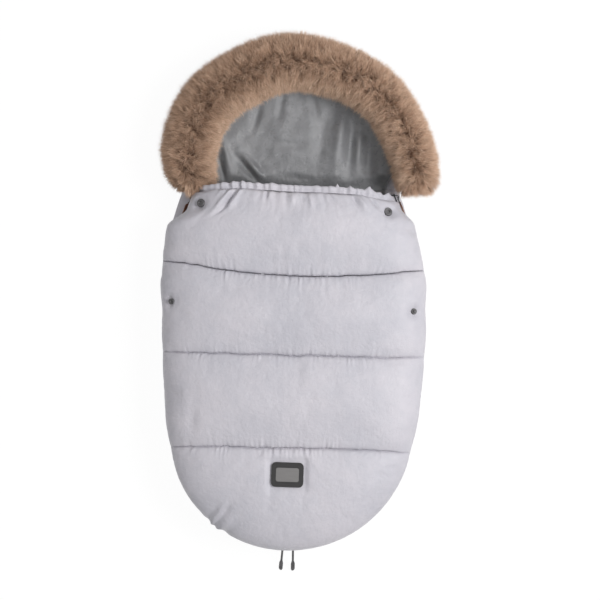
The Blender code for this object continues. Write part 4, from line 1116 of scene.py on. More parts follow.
@dataclass(frozen=True)
class Inflation:
    """How a skin is blown up by cloth simulation."""

    pressure: float = 4.0
    frames: int = 16
    grow: float = 0.005
    bending: float = 0.8
    cap: float = 0.006

    def run(self, sheet: bpy.types.Object, pinned: Array) -> Array:
        """Simulates an open skin whose pinned points stay.

        Args:
            sheet: the skin; it is removed.
            pinned: how firmly each point is held, from 0 to 1.

        Returns:
            The moves, none longer than the cap.
        """
        start = coordinates(sheet.data)
        group = sheet.vertex_groups.new(name="held")
        for weight in np.unique(np.round(pinned, 2)):
            held = np.nonzero(np.round(pinned, 2) == weight)[0]
            group.add(held.tolist(), float(weight), "REPLACE")
        cloth = sheet.modifiers.new("cloth", "CLOTH")
        settings = cloth.settings
        settings.vertex_group_mass = "held"
        settings.quality = 4
        settings.mass = 0.2
        settings.tension_stiffness = 20
        settings.compression_stiffness = 20
        settings.shear_stiffness = 8
        settings.bending_stiffness = self.bending
        settings.air_damping = 2
        settings.use_pressure = True
        settings.uniform_pressure_force = self.pressure
        settings.shrink_min = -self.grow
        settings.effector_weights.gravity = 0
        cloth.collision_settings.use_collision = False
        cloth.collision_settings.use_self_collision = False
        cloth.point_cache.frame_start = 1
        cloth.point_cache.frame_end = self.frames
        scene = bpy.context.scene
        for number in range(1, self.frames + 1):
            scene.frame_set(number)
        end = coordinates(evaluated(sheet))
        scene.frame_set(1)
        move = end - start
        length = np.linalg.norm(move, axis=1, keepdims=True)
        return move * np.minimum(1.0, self.cap / np.maximum(length, TINY))


@dataclass(frozen=True)
class Crease:
    """A soft fold in the cloth, from one flat point to another."""

    start: tuple[float, float]
    end: tuple[float, float]
    depth: float
    width: float
    ease: float = 0.08

    def depth_at(self, flat: Array) -> Array:
        """How far the fold sinks each flat place."""
        a, b = np.array(self.start), np.array(self.end)
        along = np.clip((flat - a) @ (b - a) / ((b - a) @ (b - a)), 0, 1)
        away = np.linalg.norm(flat - a - along[:, None] * (b - a), axis=1)
        swell = np.sin(math.pi * np.clip(along, self.ease, 1 - self.ease))
        return self.depth * bell(away, self.width) * swell


@dataclass(frozen=True)
class Gather:
    """Small folds that run away from a seam."""

    seam: Seam
    reach: float
    depth: float
    pitch: float
    fan: float = 0.0
    drift: Ripple = Ripple(0.25, 0.03, 5.0)
    bunches: Ripple = Ripple(1.2, 0.038, 9.0)
    runs: Ripple = Ripple(1.8, 0.02, 3.0)
    side_step: float = 0.2
    mean_depth: float = 0.45
    depth_range: tuple[float, float] = (0.08, 1.4)
    mean_run: float = 0.5
    run_range: tuple[float, float] = (0.4, 1.6)
    rise: float = 0.0015
    row_pitches: int = 3

    def heights(self, flat: Array, seed: float) -> Array:
        """Height of the folds at flat places, in the pattern of a seed."""
        half = BAG.half_at(np.clip(flat[:, 1], BAG.toe_centre_y, BAG.neck_y))
        u = flat[:, 0] / half
        away = flat[:, 1] - self.seam.at(np.clip(u, -1, 1))
        side = np.where(away > 0, 1.0, -1.0)
        drift = (self.drift.at(flat, seed) - self.fan * u) * np.abs(away)
        lines = np.stack([flat[:, 0] + drift, side * self.pitch * self.row_pitches], -1)
        fold = ripple(lines, self.pitch, seed)
        bunches = self.bunches.at(np.stack([flat[:, 0], side * self.side_step], -1), seed)
        local = np.clip(self.mean_depth + bunches, *self.depth_range)
        runs = np.abs(self.runs.at(np.stack([flat[:, 0], side], -1), seed))
        span = self.reach * np.clip(self.mean_run + runs, *self.run_range)
        rise = 1 - np.exp(-np.abs(away) / self.rise)
        return self.depth * fold * local * np.exp(-np.abs(away) / span) * rise


HEM_GATHER = Gather(HEM_SEAM, 0.014, 0.008, 0.0085, 0.55)
SEAM_1_GATHER = Gather(SEAM_1, 0.0075, 0.0086, 0.0056)


# Quilted cover and flap


@dataclass
class QuiltPanel:
    """One quilted panel of the cover, with its lining."""

    name: str
    body: Body
    quilt_node: str
    lining_node: str
    seams: tuple[Seam, ...]
    with_toe: bool
    gathers: tuple[Gather, ...]
    creases: tuple[Crease, ...] = ()
    row_step: float = 0.0042
    seam_step: float = 0.0009
    crown_columns: int = 144
    side_columns: int = 36
    groove: float = 0.0055
    groove_fullness: float = 0.16
    held_fullness: float = 0.55
    held_edge: Ramp = Ramp(0.9, 0.08)
    corner_y: Ramp = Ramp(0.12, 0.03)
    corner_share: Ramp = Ramp(0.7, 0.12)
    gather_end: Ramp = Ramp(0.8, 0.13)
    crease_end: Ramp = Ramp(0.875, 0.045)
    stray_end: Ramp = Ramp(0.16, 0.05)
    stray_spacing: float = 0.14
    strays: tuple[Ripple, ...] = (Ripple(0.002, 0.034, 91.0), Ripple(0.0012, 0.013, 93.0))
    unrest: Ripple = Ripple(0.0002, 0.006, SEED)
    hollows: tuple[Ripple, ...] = (Ripple(0.0016, 0.085, 3.0), Ripple(0.0008, 0.034, 7.0))
    sag: Ripple = Ripple(0.0008, 0.03, 13.0)
    probe: float = 0.004

    def shares_across(self, coarse: int = 1) -> Array:
        """Shares across the panel, finer where it turns down at the sides."""
        crown = np.linspace(0, BAG.crown_share, self.crown_columns // coarse + 1)
        side = np.linspace(BAG.crown_share, 1, self.side_columns // coarse + 1)[1:]
        half = np.concatenate([crown, side])
        return np.concatenate([-half[:0:-1], half])

    def flat_grid(self, coarse: int = 1) -> tuple[Array, Array]:
        """Flat places and fullness of every row and column."""
        u = self.shares_across(coarse)
        rows, fulls = [], []
        fine, step = self.seam_step * coarse**2, self.row_step * coarse
        for number, (upper, lower) in enumerate(zip(self.seams, self.seams[1:])):
            shares = graded(upper.middle - lower.middle, fine, step)
            for share in shares[1 if number else 0 :]:
                flat = BAG.straight(upper, lower, u, share)
                if number == 0 and share == 0:
                    flat[:, 1] -= JOIN_GAP / 2
                rows.append(flat)
                fulls.append(np.full(len(u), self.puff(share)))
        if self.with_toe:
            last = self.seams[-1]
            half = graded(2 * (last.middle - BAG.toe_y), fine, step)
            shares = half[half <= 0.5] * 2
            for share in shares[1:]:
                flat = BAG.toe_patch(last, u, np.full(len(u), share))
                fall = np.minimum(1.0, (last.at(u) - flat[:, 1]) / BAG.toe_puff_length)
                rows.append(flat)
                fulls.append(self.puff(fall / 2))
        flat = np.array(rows)
        flat[..., 1] += self.waver(flat.reshape(-1, 2)).reshape(flat.shape[:2])
        return flat, np.array(fulls)

    def waver(self, flat: Array) -> Array:
        """How far the sewing strays up or down."""
        line = np.stack([flat[:, 0], np.round(flat[:, 1] / self.stray_spacing)], -1)
        return uneven(line, self.strays) * self.stray_end.down(np.abs(flat[:, 0]))

    @staticmethod
    def puff(t: Array | float) -> Array:
        """How full a channel is, from 0 at its seams to 1 at its crest."""
        return np.maximum(0.0, 1 - (2 * np.asarray(t) - 1) ** 2) ** BAG.fullness

    def outer_skin(self, slab: Slab) -> Array:
        """Outer points: the dome, blown up as cloth, then folded along its seams."""
        flat, full = slab.flat.reshape(-1, 2), slab.full.ravel()
        points = BAG.cover(flat, 0.0, BAG.valley * (1 - full))
        share = BAG.radial(flat)[3]
        seam = np.clip(1 - full / self.held_fullness, 0, 1) ** 0.5
        corner = self.corner_y.up(flat[:, 1]) * self.corner_share.up(share)
        held = np.maximum.reduce([seam, self.held_edge.up(share), corner, TRIM.held(points)])
        moves = slab.moves(points + self.unrest.at(flat)[:, None], held, Inflation(), True)
        points = points + calmed(moves.reshape(*slab.full.shape, 3)).reshape(-1, 3)
        lifts = np.zeros(len(flat))
        for number, gather in enumerate(self.gathers):
            lifts += gather.heights(flat, SEED + 20.0 * number)
        lifts += uneven(flat, self.hollows)
        lifts -= self.groove * bell(full, self.groove_fullness)
        lifts *= self.gather_end.down(share)
        for crease in self.creases:
            lifts -= crease.depth_at(flat)
        lifts *= self.crease_end.down(share) * (1 - TRIM.held(points))
        up = unit(BAG.cover(flat, 0.0, 0.0) - BAG.cover(flat, self.probe, 0.0))
        lifts -= TRIM.pressed(points, up)
        return points + up * lifts[:, None]

    def build(self) -> None:
        """Makes the quilt and its lining."""
        flat, full = self.flat_grid()
        slab = Slab(self.name + "_soft", flat, full)
        places = flat.reshape(-1, 2)
        inner = BAG.cover(places, BAG.seam_thickness, BAG.valley)
        quilt = slab.build(self.outer_skin(slab), inner)
        SHOP.settle(quilt, PEARL, self.body.value, [self.quilt_node])
        flat, full = self.flat_grid(2)
        places = flat.reshape(-1, 2)
        start = BAG.seam_thickness + BAG.gap
        back = BAG.cover(places, start, BAG.valley)
        front = BAG.cover(places, start + BAG.lining_thickness + self.sag.at(places), BAG.valley)
        lining = Slab(self.name + "_lining_soft", flat, full).build(back, front)
        SHOP.settle(lining, LINING, self.body.value, [self.lining_node])


def calmed(moves: Array, passes: int = 6) -> Array:
    """A grid of moves with its finest upright wrinkles smoothed away."""
    for _ in range(passes):
        wide = np.pad(moves, ((0, 0), (2, 2), (0, 0)), mode="edge")
        moves = (wide[:, :-4] + 4 * wide[:, 1:-3] + 6 * wide[:, 2:-2] + 4 * wide[:, 3:-1] + wide[:, 4:]) / 16
    return moves


@dataclass(frozen=True)
class Trim:
    """How the badge and the snaps hold the quilt flat and press into it."""

    badge_margin: float = 0.003
    badge_hold: Ramp = Ramp(0.0, 0.008)
    badge_depth: float = 0.004
    badge_press: Ramp = Ramp(0.0015, 0.01)
    snap_hold: Ramp = Ramp(0.007, 0.01)
    snap_depth: float = 0.0021
    snap_seat: float = 0.0012
    snap_press: Ramp = Ramp(0.008, 0.01)

    @staticmethod
    def beyond_badge(points: Array, margin: float) -> Array:
        """Distance in plan from the badge's box widened by a margin."""
        low, high = (np.array(corner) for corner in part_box("badge_patch"))
        beyond = np.maximum(np.maximum(low - margin - points, points - high - margin), 0)
        return np.linalg.norm(beyond[:, :2], axis=1)

    @staticmethod
    def snap_middles() -> list[Array]:
        """Middles of the studs and the sockets."""
        nodes = [f"{kind}_{side.word}" for kind in ("snap_stud", "snap_socket") for side in Side]
        return [(np.array(low) + np.array(high)) / 2 for low, high in map(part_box, nodes)]

    def held(self, points: Array) -> Array:
        """How firmly they hold the cloth flat, from 0 to 1."""
        held = self.badge_hold.down(self.beyond_badge(points, self.badge_margin))
        for middle in self.snap_middles():
            held = np.maximum(held, self.snap_hold.down(np.linalg.norm(points - middle, axis=1)))
        return held

    def pressed(self, points: Array, up: Array) -> Array:
        """How deep they press into the padding, against its outward directions."""
        depth = self.badge_depth * self.badge_press.down(self.beyond_badge(points, 0.0))
        for middle in self.snap_middles():
            away = points - middle
            sink = np.maximum(self.snap_depth, (away * up).sum(1) + self.snap_seat)
            depth = np.maximum(depth, sink * self.snap_press.down(np.linalg.norm(away, axis=1)))
        return depth


TRIM = Trim()


# Gathered hem


@dataclass
class GatheredHem:
    """Casing along the cover's top edge, puckered by its elastic."""

    width: float = CASING_WIDTH
    thickness: float = 0.006
    columns: int = 620
    around: int = 16
    bunches: tuple[tuple[float, float], ...] = ((-0.09, 0.04), (0.112, 0.045))
    peaks: tuple[tuple[float, float, float], ...] = (
        (0.0755, 0.006, 0.0022),
        (0.099, 0.002, 0.004),
        (0.1315, 0.007, 0.006),
        (0.166, 0.004, 0.0035),
        (-0.06, 0.0015, 0.0055),
        (-0.098, 0.002, 0.006),
    )
    merge_gap: float = 0.00005
    probe: float = 0.002
    calm: float = 0.3
    bunch: float = 0.75
    folds: Ripple = Ripple(1.3, HEM_GATHER.pitch, SEED)
    fine_folds: Ripple = Ripple(0.3, 0.005, 31.0)
    waves: Ripple = Ripple(1.0, 0.022, 37.0)
    lip_fold: float = 0.0026
    lip_wave: float = 0.0024
    lip_thinning: float = 0.35
    foot_wave: float = 0.001
    foot_calm: float = 0.3
    stitch_depth: float = 0.7
    stitch_level: float = 0.45
    stitch_wander: float = 0.12
    stitch_width: float = 0.18
    roundness: float = 0.6
    swelling: float = 0.5
    fold_shift: float = 0.0024
    wave_shift: float = 0.0012

    def build(self) -> None:
        """Makes the casing as a closed tube."""
        u = np.linspace(-1, 1, self.columns)
        line = HEM_SEAM.moved(self.width / 2)
        flat = BAG.straight(line, line, u, 0.0)
        sink = BAG.seam_thickness - self.thickness / 2
        middle = BAG.cover(flat, sink, BAG.valley)
        above, below = (BAG.cover(flat, sink + step, BAG.valley) for step in (-self.probe, self.probe))
        up = unit(above - below)
        mesh, own = unit_grid("hem_gathers", self.columns - 1, self.around)
        column = np.round((own[:, 0] + 1) / 2 * (self.columns - 1)).astype(int)
        x, level = middle[column, 0], np.cos(math.pi * own[:, 1])
        along = np.stack([x + middle[column, 2] * np.sign(x), np.zeros(len(own))], -1)
        beside = np.stack([x, np.full(len(own), -HEM_GATHER.row_pitches * HEM_GATHER.pitch)], -1)
        bunched = self.calm + sum(self.bunch * bell(x - at, size) for at, size in self.bunches)
        fold = (self.folds.at(beside) + self.fine_folds.at(along)) * bunched
        wide = self.waves.at(along)
        lip = np.maximum(level, 0) ** 2
        foot = np.maximum(-level, 0) ** 2
        y = level * self.width / 2 + lip * (self.lip_fold * fold + self.lip_wave * wide)
        y += foot * self.foot_wave * wide
        for place, height, size in self.peaks:
            y += lip * height * bell(x - place, size)
        off_stitch = level + self.stitch_level + self.stitch_wander * wide
        stitch = 1 - self.stitch_depth * bell(off_stitch, self.stitch_width)
        body = np.sign(own[:, 1]) * np.abs(np.sin(math.pi * own[:, 1])) ** self.roundness * self.thickness / 2
        body = body * stitch * (1 + self.swelling * fold * (1 - foot)) * (1 - self.lip_thinning * lip)
        shift = self.fold_shift * fold * (1 - self.foot_calm * foot) + self.wave_shift * wide
        places = middle[column] + up[column] * (body + shift)[:, None]
        places[:, 1] += y
        place_all(mesh, places)
        close(mesh, self.merge_gap)
        hem = link("hem_gathers", mesh)
        SHOP.settle(hem, PEARL, Body.FLAP.value, ["hem_casing", "hem_elastic"])


# Back: tub and hood


@dataclass(frozen=True)
class Slot:
    """A harness slot through the back."""

    node: str
    x: float
    y: float
    length: float
    width: float = 0.015

    def holds(self, flat: Array) -> Array:
        """Which flat places lie in the slot."""
        inside = np.abs(flat[:, 0] - self.x) < self.width / 2
        return inside & (np.abs(flat[:, 1] - self.y) < self.length / 2)


SLOTS = (
    Slot("shoulder_slot_binding_left", -0.06, 0.105, 0.13),
    Slot("shoulder_slot_binding_right", 0.06, 0.105, 0.13),
    Slot("crotch_slot_binding", 0.0, -0.12, 0.06),
)


def in_a_slot(flat: Array) -> Array:
    """Which flat places lie in any slot."""
    return np.any([slot.holds(flat) for slot in SLOTS], axis=0)


@dataclass
class Tub:
    """Padded back of the bag with its lining and harness slots."""

    shell_thickness: float = 0.012
    lining_thickness: float = 0.004
    column_step: float = 0.0075
    row_step: float = 0.0075
    wall_columns: int = 9
    welt_width: float = 0.0034
    welt_height: float = 0.0016
    welt_flange_share: float = 1.6
    welt_cloth_share: float = 0.6
    welt_steps: int = 10
    floor_hold: Ramp = Ramp(0.84, 0.05)
    rim_hold: Ramp = Ramp(0.97, 0.03)
    neck_hold: Ramp = Ramp(-0.01, 0.01)
    wall_start: Ramp = Ramp(0.86, 0.05)
    wall_end: Ramp = Ramp(0.985, 0.015)
    dents: tuple[Ripple, ...] = (Ripple(0.0013, 0.03, 41.0), Ripple(0.0008, 0.013, 43.0))
    swells: tuple[Ripple, ...] = (Ripple(0.0016, 0.055, 51.0), Ripple(0.0007, 0.019, 53.0))
    loft: float = 0.001
    slot_free: Ramp = Ramp(0.0, 0.012)
    lining_end: Ramp = Ramp(0.95, 0.05)
    neck_free: Ramp = Ramp(0.002, 0.03)

    def flat_grid(self) -> tuple[Array, Array]:
        """Flat places of the tub, with lines of the grid along the slots' sides."""
        floor = BAG.half_width * BAG.tub_bowl.floor_share
        marks = sorted({abs(slot.x + side * slot.width / 2) for slot in SLOTS for side in (-1, 1)})
        half = [0.0]
        for mark in [*marks, floor]:
            count = max(1, round((mark - half[-1]) / self.column_step))
            half += list(np.linspace(half[-1], mark, count + 1)[1:])
        shares = np.array(half) / BAG.half_width
        wall = np.linspace(BAG.tub_bowl.floor_share, 1, self.wall_columns + 1)[1:]
        shares = np.concatenate([shares, wall])
        u = np.concatenate([-shares[:0:-1], shares])
        marks = [BAG.neck_y]
        for slot in sorted(SLOTS, key=lambda s: -s.y)[1:]:
            marks += [slot.y + slot.length / 2, slot.y - slot.length / 2]
        marks.append(SEAM_3.middle)
        rows = []
        for high, low in zip(marks, marks[1:]):
            count = max(1, round((high - low) / self.row_step))
            for y in np.linspace(high, low, count + 1)[1 if rows else 0 :]:
                seam = Seam(y)
                rows.append(BAG.straight(seam, seam, u, 0.0))
        count = round((SEAM_3.middle - BAG.toe_y) / self.row_step)
        last = Seam(SEAM_3.middle)
        for share in np.linspace(0, 1, count + 1)[1:]:
            rows.append(BAG.toe_patch(last, u, np.full(len(u), share)))
        flat = np.array(rows)
        return flat, np.ones(flat.shape[:2])

    def shell(self) -> None:
        """Outer padded shell, blown up as cloth between its rim and its floor."""
        flat, full = self.flat_grid()
        places = flat.reshape(-1, 2)
        outer = BAG.tub(places, 0.0)
        _, out, _, share = BAG.radial(places)
        neck = self.neck_hold.up(places[:, 1] - BAG.neck_y)
        held = np.maximum.reduce([self.floor_hold.down(share), self.rim_hold.up(share), neck])
        outer += Slab("tub", flat, full).moves(outer, held, Inflation(cap=0.0035), False)
        turn = BAG.tub_bowl.rise(share)
        away = np.column_stack([out * np.sin(turn)[:, None], -np.cos(turn)])
        wall = self.wall_start.up(share) * self.wall_end.down(share)
        outer = outer + away * (uneven(outer, self.dents) * wall)[:, None]
        outer[:, 2] = np.maximum(outer[:, 2], 0.0)
        inner = BAG.tub(places, self.shell_thickness)
        shell = Slab("back_shell_soft", flat, full, in_a_slot).build(outer, inner)
        SHOP.settle(shell, PEARL, Body.BACK.value, ["back_outer"])

    def lining(self) -> None:
        """Soft lining of the tub."""
        flat, full = self.flat_grid()
        places = flat.reshape(-1, 2)
        start = self.shell_thickness + BAG.gap
        back = BAG.tub(places, start)
        front = BAG.tub(places, start + self.lining_thickness)
        _, _, _, share = BAG.radial(places)
        near_slot = np.min([slot_distance(places, slot) for slot in SLOTS], axis=0)
        free = self.slot_free.up(near_slot) * self.lining_end.down(share)
        free *= self.neck_free.up(BAG.neck_y - places[:, 1])
        front[:, 2] += uneven(places, self.swells) * free + self.loft * free
        lining = Slab("back_lining_soft", flat, full, in_a_slot).build(back, front)
        SHOP.settle(lining, LINING, Body.BACK.value, ["back_lining"])

    def welts(self) -> None:
        """Flat woven bindings round the slots, over the lining and under the shell."""
        top = self.shell_thickness + BAG.gap + self.lining_thickness + self.welt_height
        for slot in SLOTS:
            bm = bmesh.new()
            half = slot.width / 2
            straight = slot.length / 2 - half
            inner = half - self.welt_width / 2
            bmesh.ops.create_circle(bm, segments=4 * self.welt_steps, radius=inner)
            for vert in bm.verts:
                vert.co.y += math.copysign(straight, vert.co.y) if abs(vert.co.y) > TINY else straight
            bmesh.ops.translate(bm, vec=Vector((slot.x, slot.y, BAG.gap)), verts=bm.verts)
            ring = bm.edges[:]
            made = bmesh.ops.extrude_edge_only(bm, edges=ring)["geom"]
            wall = [item for item in made if isinstance(item, bmesh.types.BMVert)]
            bmesh.ops.translate(bm, vec=Vector((0, 0, top - BAG.gap)), verts=wall)
            rim = [item for item in made if isinstance(item, bmesh.types.BMEdge)]
            rim = [edge for edge in rim if all(vert in wall for vert in edge.verts)]
            made = bmesh.ops.extrude_edge_only(bm, edges=rim)["geom"]
            flange = [item for item in made if isinstance(item, bmesh.types.BMVert)]
            for vert in flange:
                centre_y = slot.y + np.clip(vert.co.y - slot.y, -straight, straight)
                away = Vector((vert.co.x - slot.x, vert.co.y - centre_y, 0)).normalized()
                vert.co += away * (self.welt_width * self.welt_flange_share)
            bmesh.ops.recalc_face_normals(bm, faces=bm.faces[:])
            welt = link(slot.node + "_welt", new_mesh(slot.node + "_welt", bm))
            solid = welt.modifiers.new("thickness", "SOLIDIFY")
            solid.thickness = self.welt_height * self.welt_cloth_share
            solid.offset = 0
            welt = link(slot.node + "_welt", evaluated(welt))
            welt.data.set_sharp_from_angle(angle=SHARP_ANGLE)
            SHOP.settle(welt, TAPE, Body.BACK.value, [slot.node])

    def build(self) -> None:
        """Makes the tub's pieces."""
        self.shell()
        self.lining()
        self.welts()


def slot_distance(flat: Array, slot: Slot) -> Array:
    """Distance of flat places from a slot's edge."""
    beyond = np.abs(flat - np.array([slot.x, slot.y])) - np.array([slot.width / 2, slot.length / 2])
    return np.linalg.norm(np.maximum(beyond, 0), axis=1)


@dataclass
class Hood:
    """Padded hood with its lining, which falls in folds."""

    shell_thickness: float = 0.01
    lining_thickness: float = 0.004
    columns: int = 150
    rows: int = 110
    folds: tuple[Crease, ...] = (
        Crease((-0.1073, 0.262), (-0.06, 0.206), 0.0095, 0.0055),
        Crease((-0.1, 0.272), (-0.05, 0.212), -0.006, 0.0065),
        Crease((-0.1412, 0.266), (-0.125, 0.212), 0.0085, 0.0055),
        Crease((-0.131, 0.292), (-0.115, 0.232), -0.0055, 0.006),
        Crease((0.088, 0.35), (0.074, 0.232), -0.009, 0.011),
        Crease((0.056, 0.34), (0.042, 0.235), 0.005, 0.011),
        Crease((0.106, 0.335), (0.098, 0.226), 0.0075, 0.0085),
        Crease((0.119, 0.312), (0.113, 0.235), -0.007, 0.0075),
        Crease((0.137, 0.3), (0.133, 0.214), 0.008, 0.0095),
        Crease((0.156, 0.275), (0.152, 0.208), -0.0045, 0.008),
        Crease((-0.04, 0.284), (0.03, 0.279), 0.0035, 0.009),
        Crease((-0.06, 0.362), (-0.078, 0.3), 0.0045, 0.007),
        Crease((-0.02, 0.378), (-0.03, 0.32), 0.004, 0.007),
        Crease((0.03, 0.378), (0.045, 0.315), 0.004, 0.008),
        Crease((-0.03, 0.225), (0.05, 0.215), 0.004, 0.008),
    )
    rim_hold: Ramp = Ramp(BAG.hood_bowl.rim_z - 0.006, 0.005)
    neck_hold: Ramp = Ramp(0.004, 0.012)
    floor_hold: Ramp = Ramp(0.0005, 0.004)
    probe: float = 0.004
    dents: tuple[Ripple, ...] = (Ripple(0.0018, 0.04, 61.0), Ripple(0.001, 0.017, 63.0))
    falls: tuple[Ripple, ...] = (Ripple(0.0045, 0.06, 71.0), Ripple(0.0016, 0.022, 73.0))
    slack: float = 0.01
    slack_start: Ramp = Ramp(0.002, 0.03)
    slack_end: Ramp = Ramp(BAG.hood_bowl.rim_z - 0.012, 0.01)

    def flat_grid(self) -> tuple[Array, Array]:
        """Flat places of the hood."""
        u = np.linspace(-1, 1, self.columns)
        shares = np.linspace(0, 1, self.rows)
        flat = np.array([BAG.hood_flat(u, np.full(len(u), share)) for share in shares])
        return flat, np.ones(flat.shape[:2])

    def build(self) -> None:
        """Makes the shell and the lining."""
        flat, full = self.flat_grid()
        places = flat.reshape(-1, 2)
        outer = BAG.hood(places, 0.0)
        low = BAG.hood(places, self.shell_thickness)
        neck = self.neck_hold.down(places[:, 1])
        held = np.maximum.reduce([self.rim_hold.up(outer[:, 2]), neck, self.floor_hold.down(outer[:, 2])])
        slab = Slab("hood_shell_soft", flat, full)
        outer += slab.moves(outer, held, Inflation(cap=0.004), False)
        away = unit(outer - BAG.hood(places, self.probe))
        outer = outer + away * ((1 - held) ** 0.5 * uneven(outer, self.dents))[:, None]
        outer[:, 2] = np.maximum(outer[:, 2], 0.0)
        SHOP.settle(slab.build(outer, low), PEARL, Body.BACK.value, ["hood_shell"])
        start = self.shell_thickness + BAG.gap
        back = BAG.hood(places, start)
        front = BAG.hood(places, start + self.lining_thickness)
        free = self.slack_end.down(front[:, 2])
        fall = uneven(front, self.falls)
        for fold in self.folds:
            fall -= fold.depth_at(front[:, :2])
        ridge = np.maximum(0.0, fall + self.slack) * self.slack_start.up(places[:, 1])
        front[:, 2] += ridge * free
        lining = Slab("hood_lining_soft", flat, full).build(back, front)
        SHOP.settle(lining, LINING, Body.BACK.value, ["hood_lining"])


# Fur


@dataclass
class Roots:
    """Where the hairs grow: place, normal, way to the nearer end, share, turn and closeness to an end."""

    place: Array
    normal: Array
    toward: Array
    share: Array
    turn: Array
    end: Array


@dataclass
class Strands:
    """How the hairs run from their roots, and their tones at the root, which carry painted light and shade as
    well as the fur's own tone.
    """

    direction: Array
    size: Array
    bend: Array
    flatness: Array
    tone: Array


@dataclass(frozen=True)
class Tufts:
    """Groups of neighbouring hairs that lean and close up together."""

    size: float = 0.0056
    wander: float = 0.35
    wander_size: float = 0.012
    wander_seeds: tuple[float, float] = (81.0, 83.0)
    off_centre: float = 0.25
    table_rows: int = 9973
    table_steps: tuple[int, int] = (7919, 104729)
    centre_step: int = 31

    def of(self, grid: Array) -> tuple[Array, Array]:
        """Random leans of each hair's tuft, and the way from each hair to its tuft's middle."""
        waves = [ripple(grid, self.wander_size, seed) for seed in self.wander_seeds]
        cell = grid / self.size + self.wander * np.stack([*waves, np.zeros(len(grid))], -1)
        tuft = np.floor(cell[:, :2]).astype(int)
        key = (tuft @ np.array(self.table_steps)) % self.table_rows
        table = np.random.default_rng(SEED + 1).normal(size=(self.table_rows, 4))
        off = self.off_centre * table[(key * self.centre_step) % self.table_rows][:, :2]
        return table[key], (tuft + 0.5 + off) * self.size - grid[:, :2]


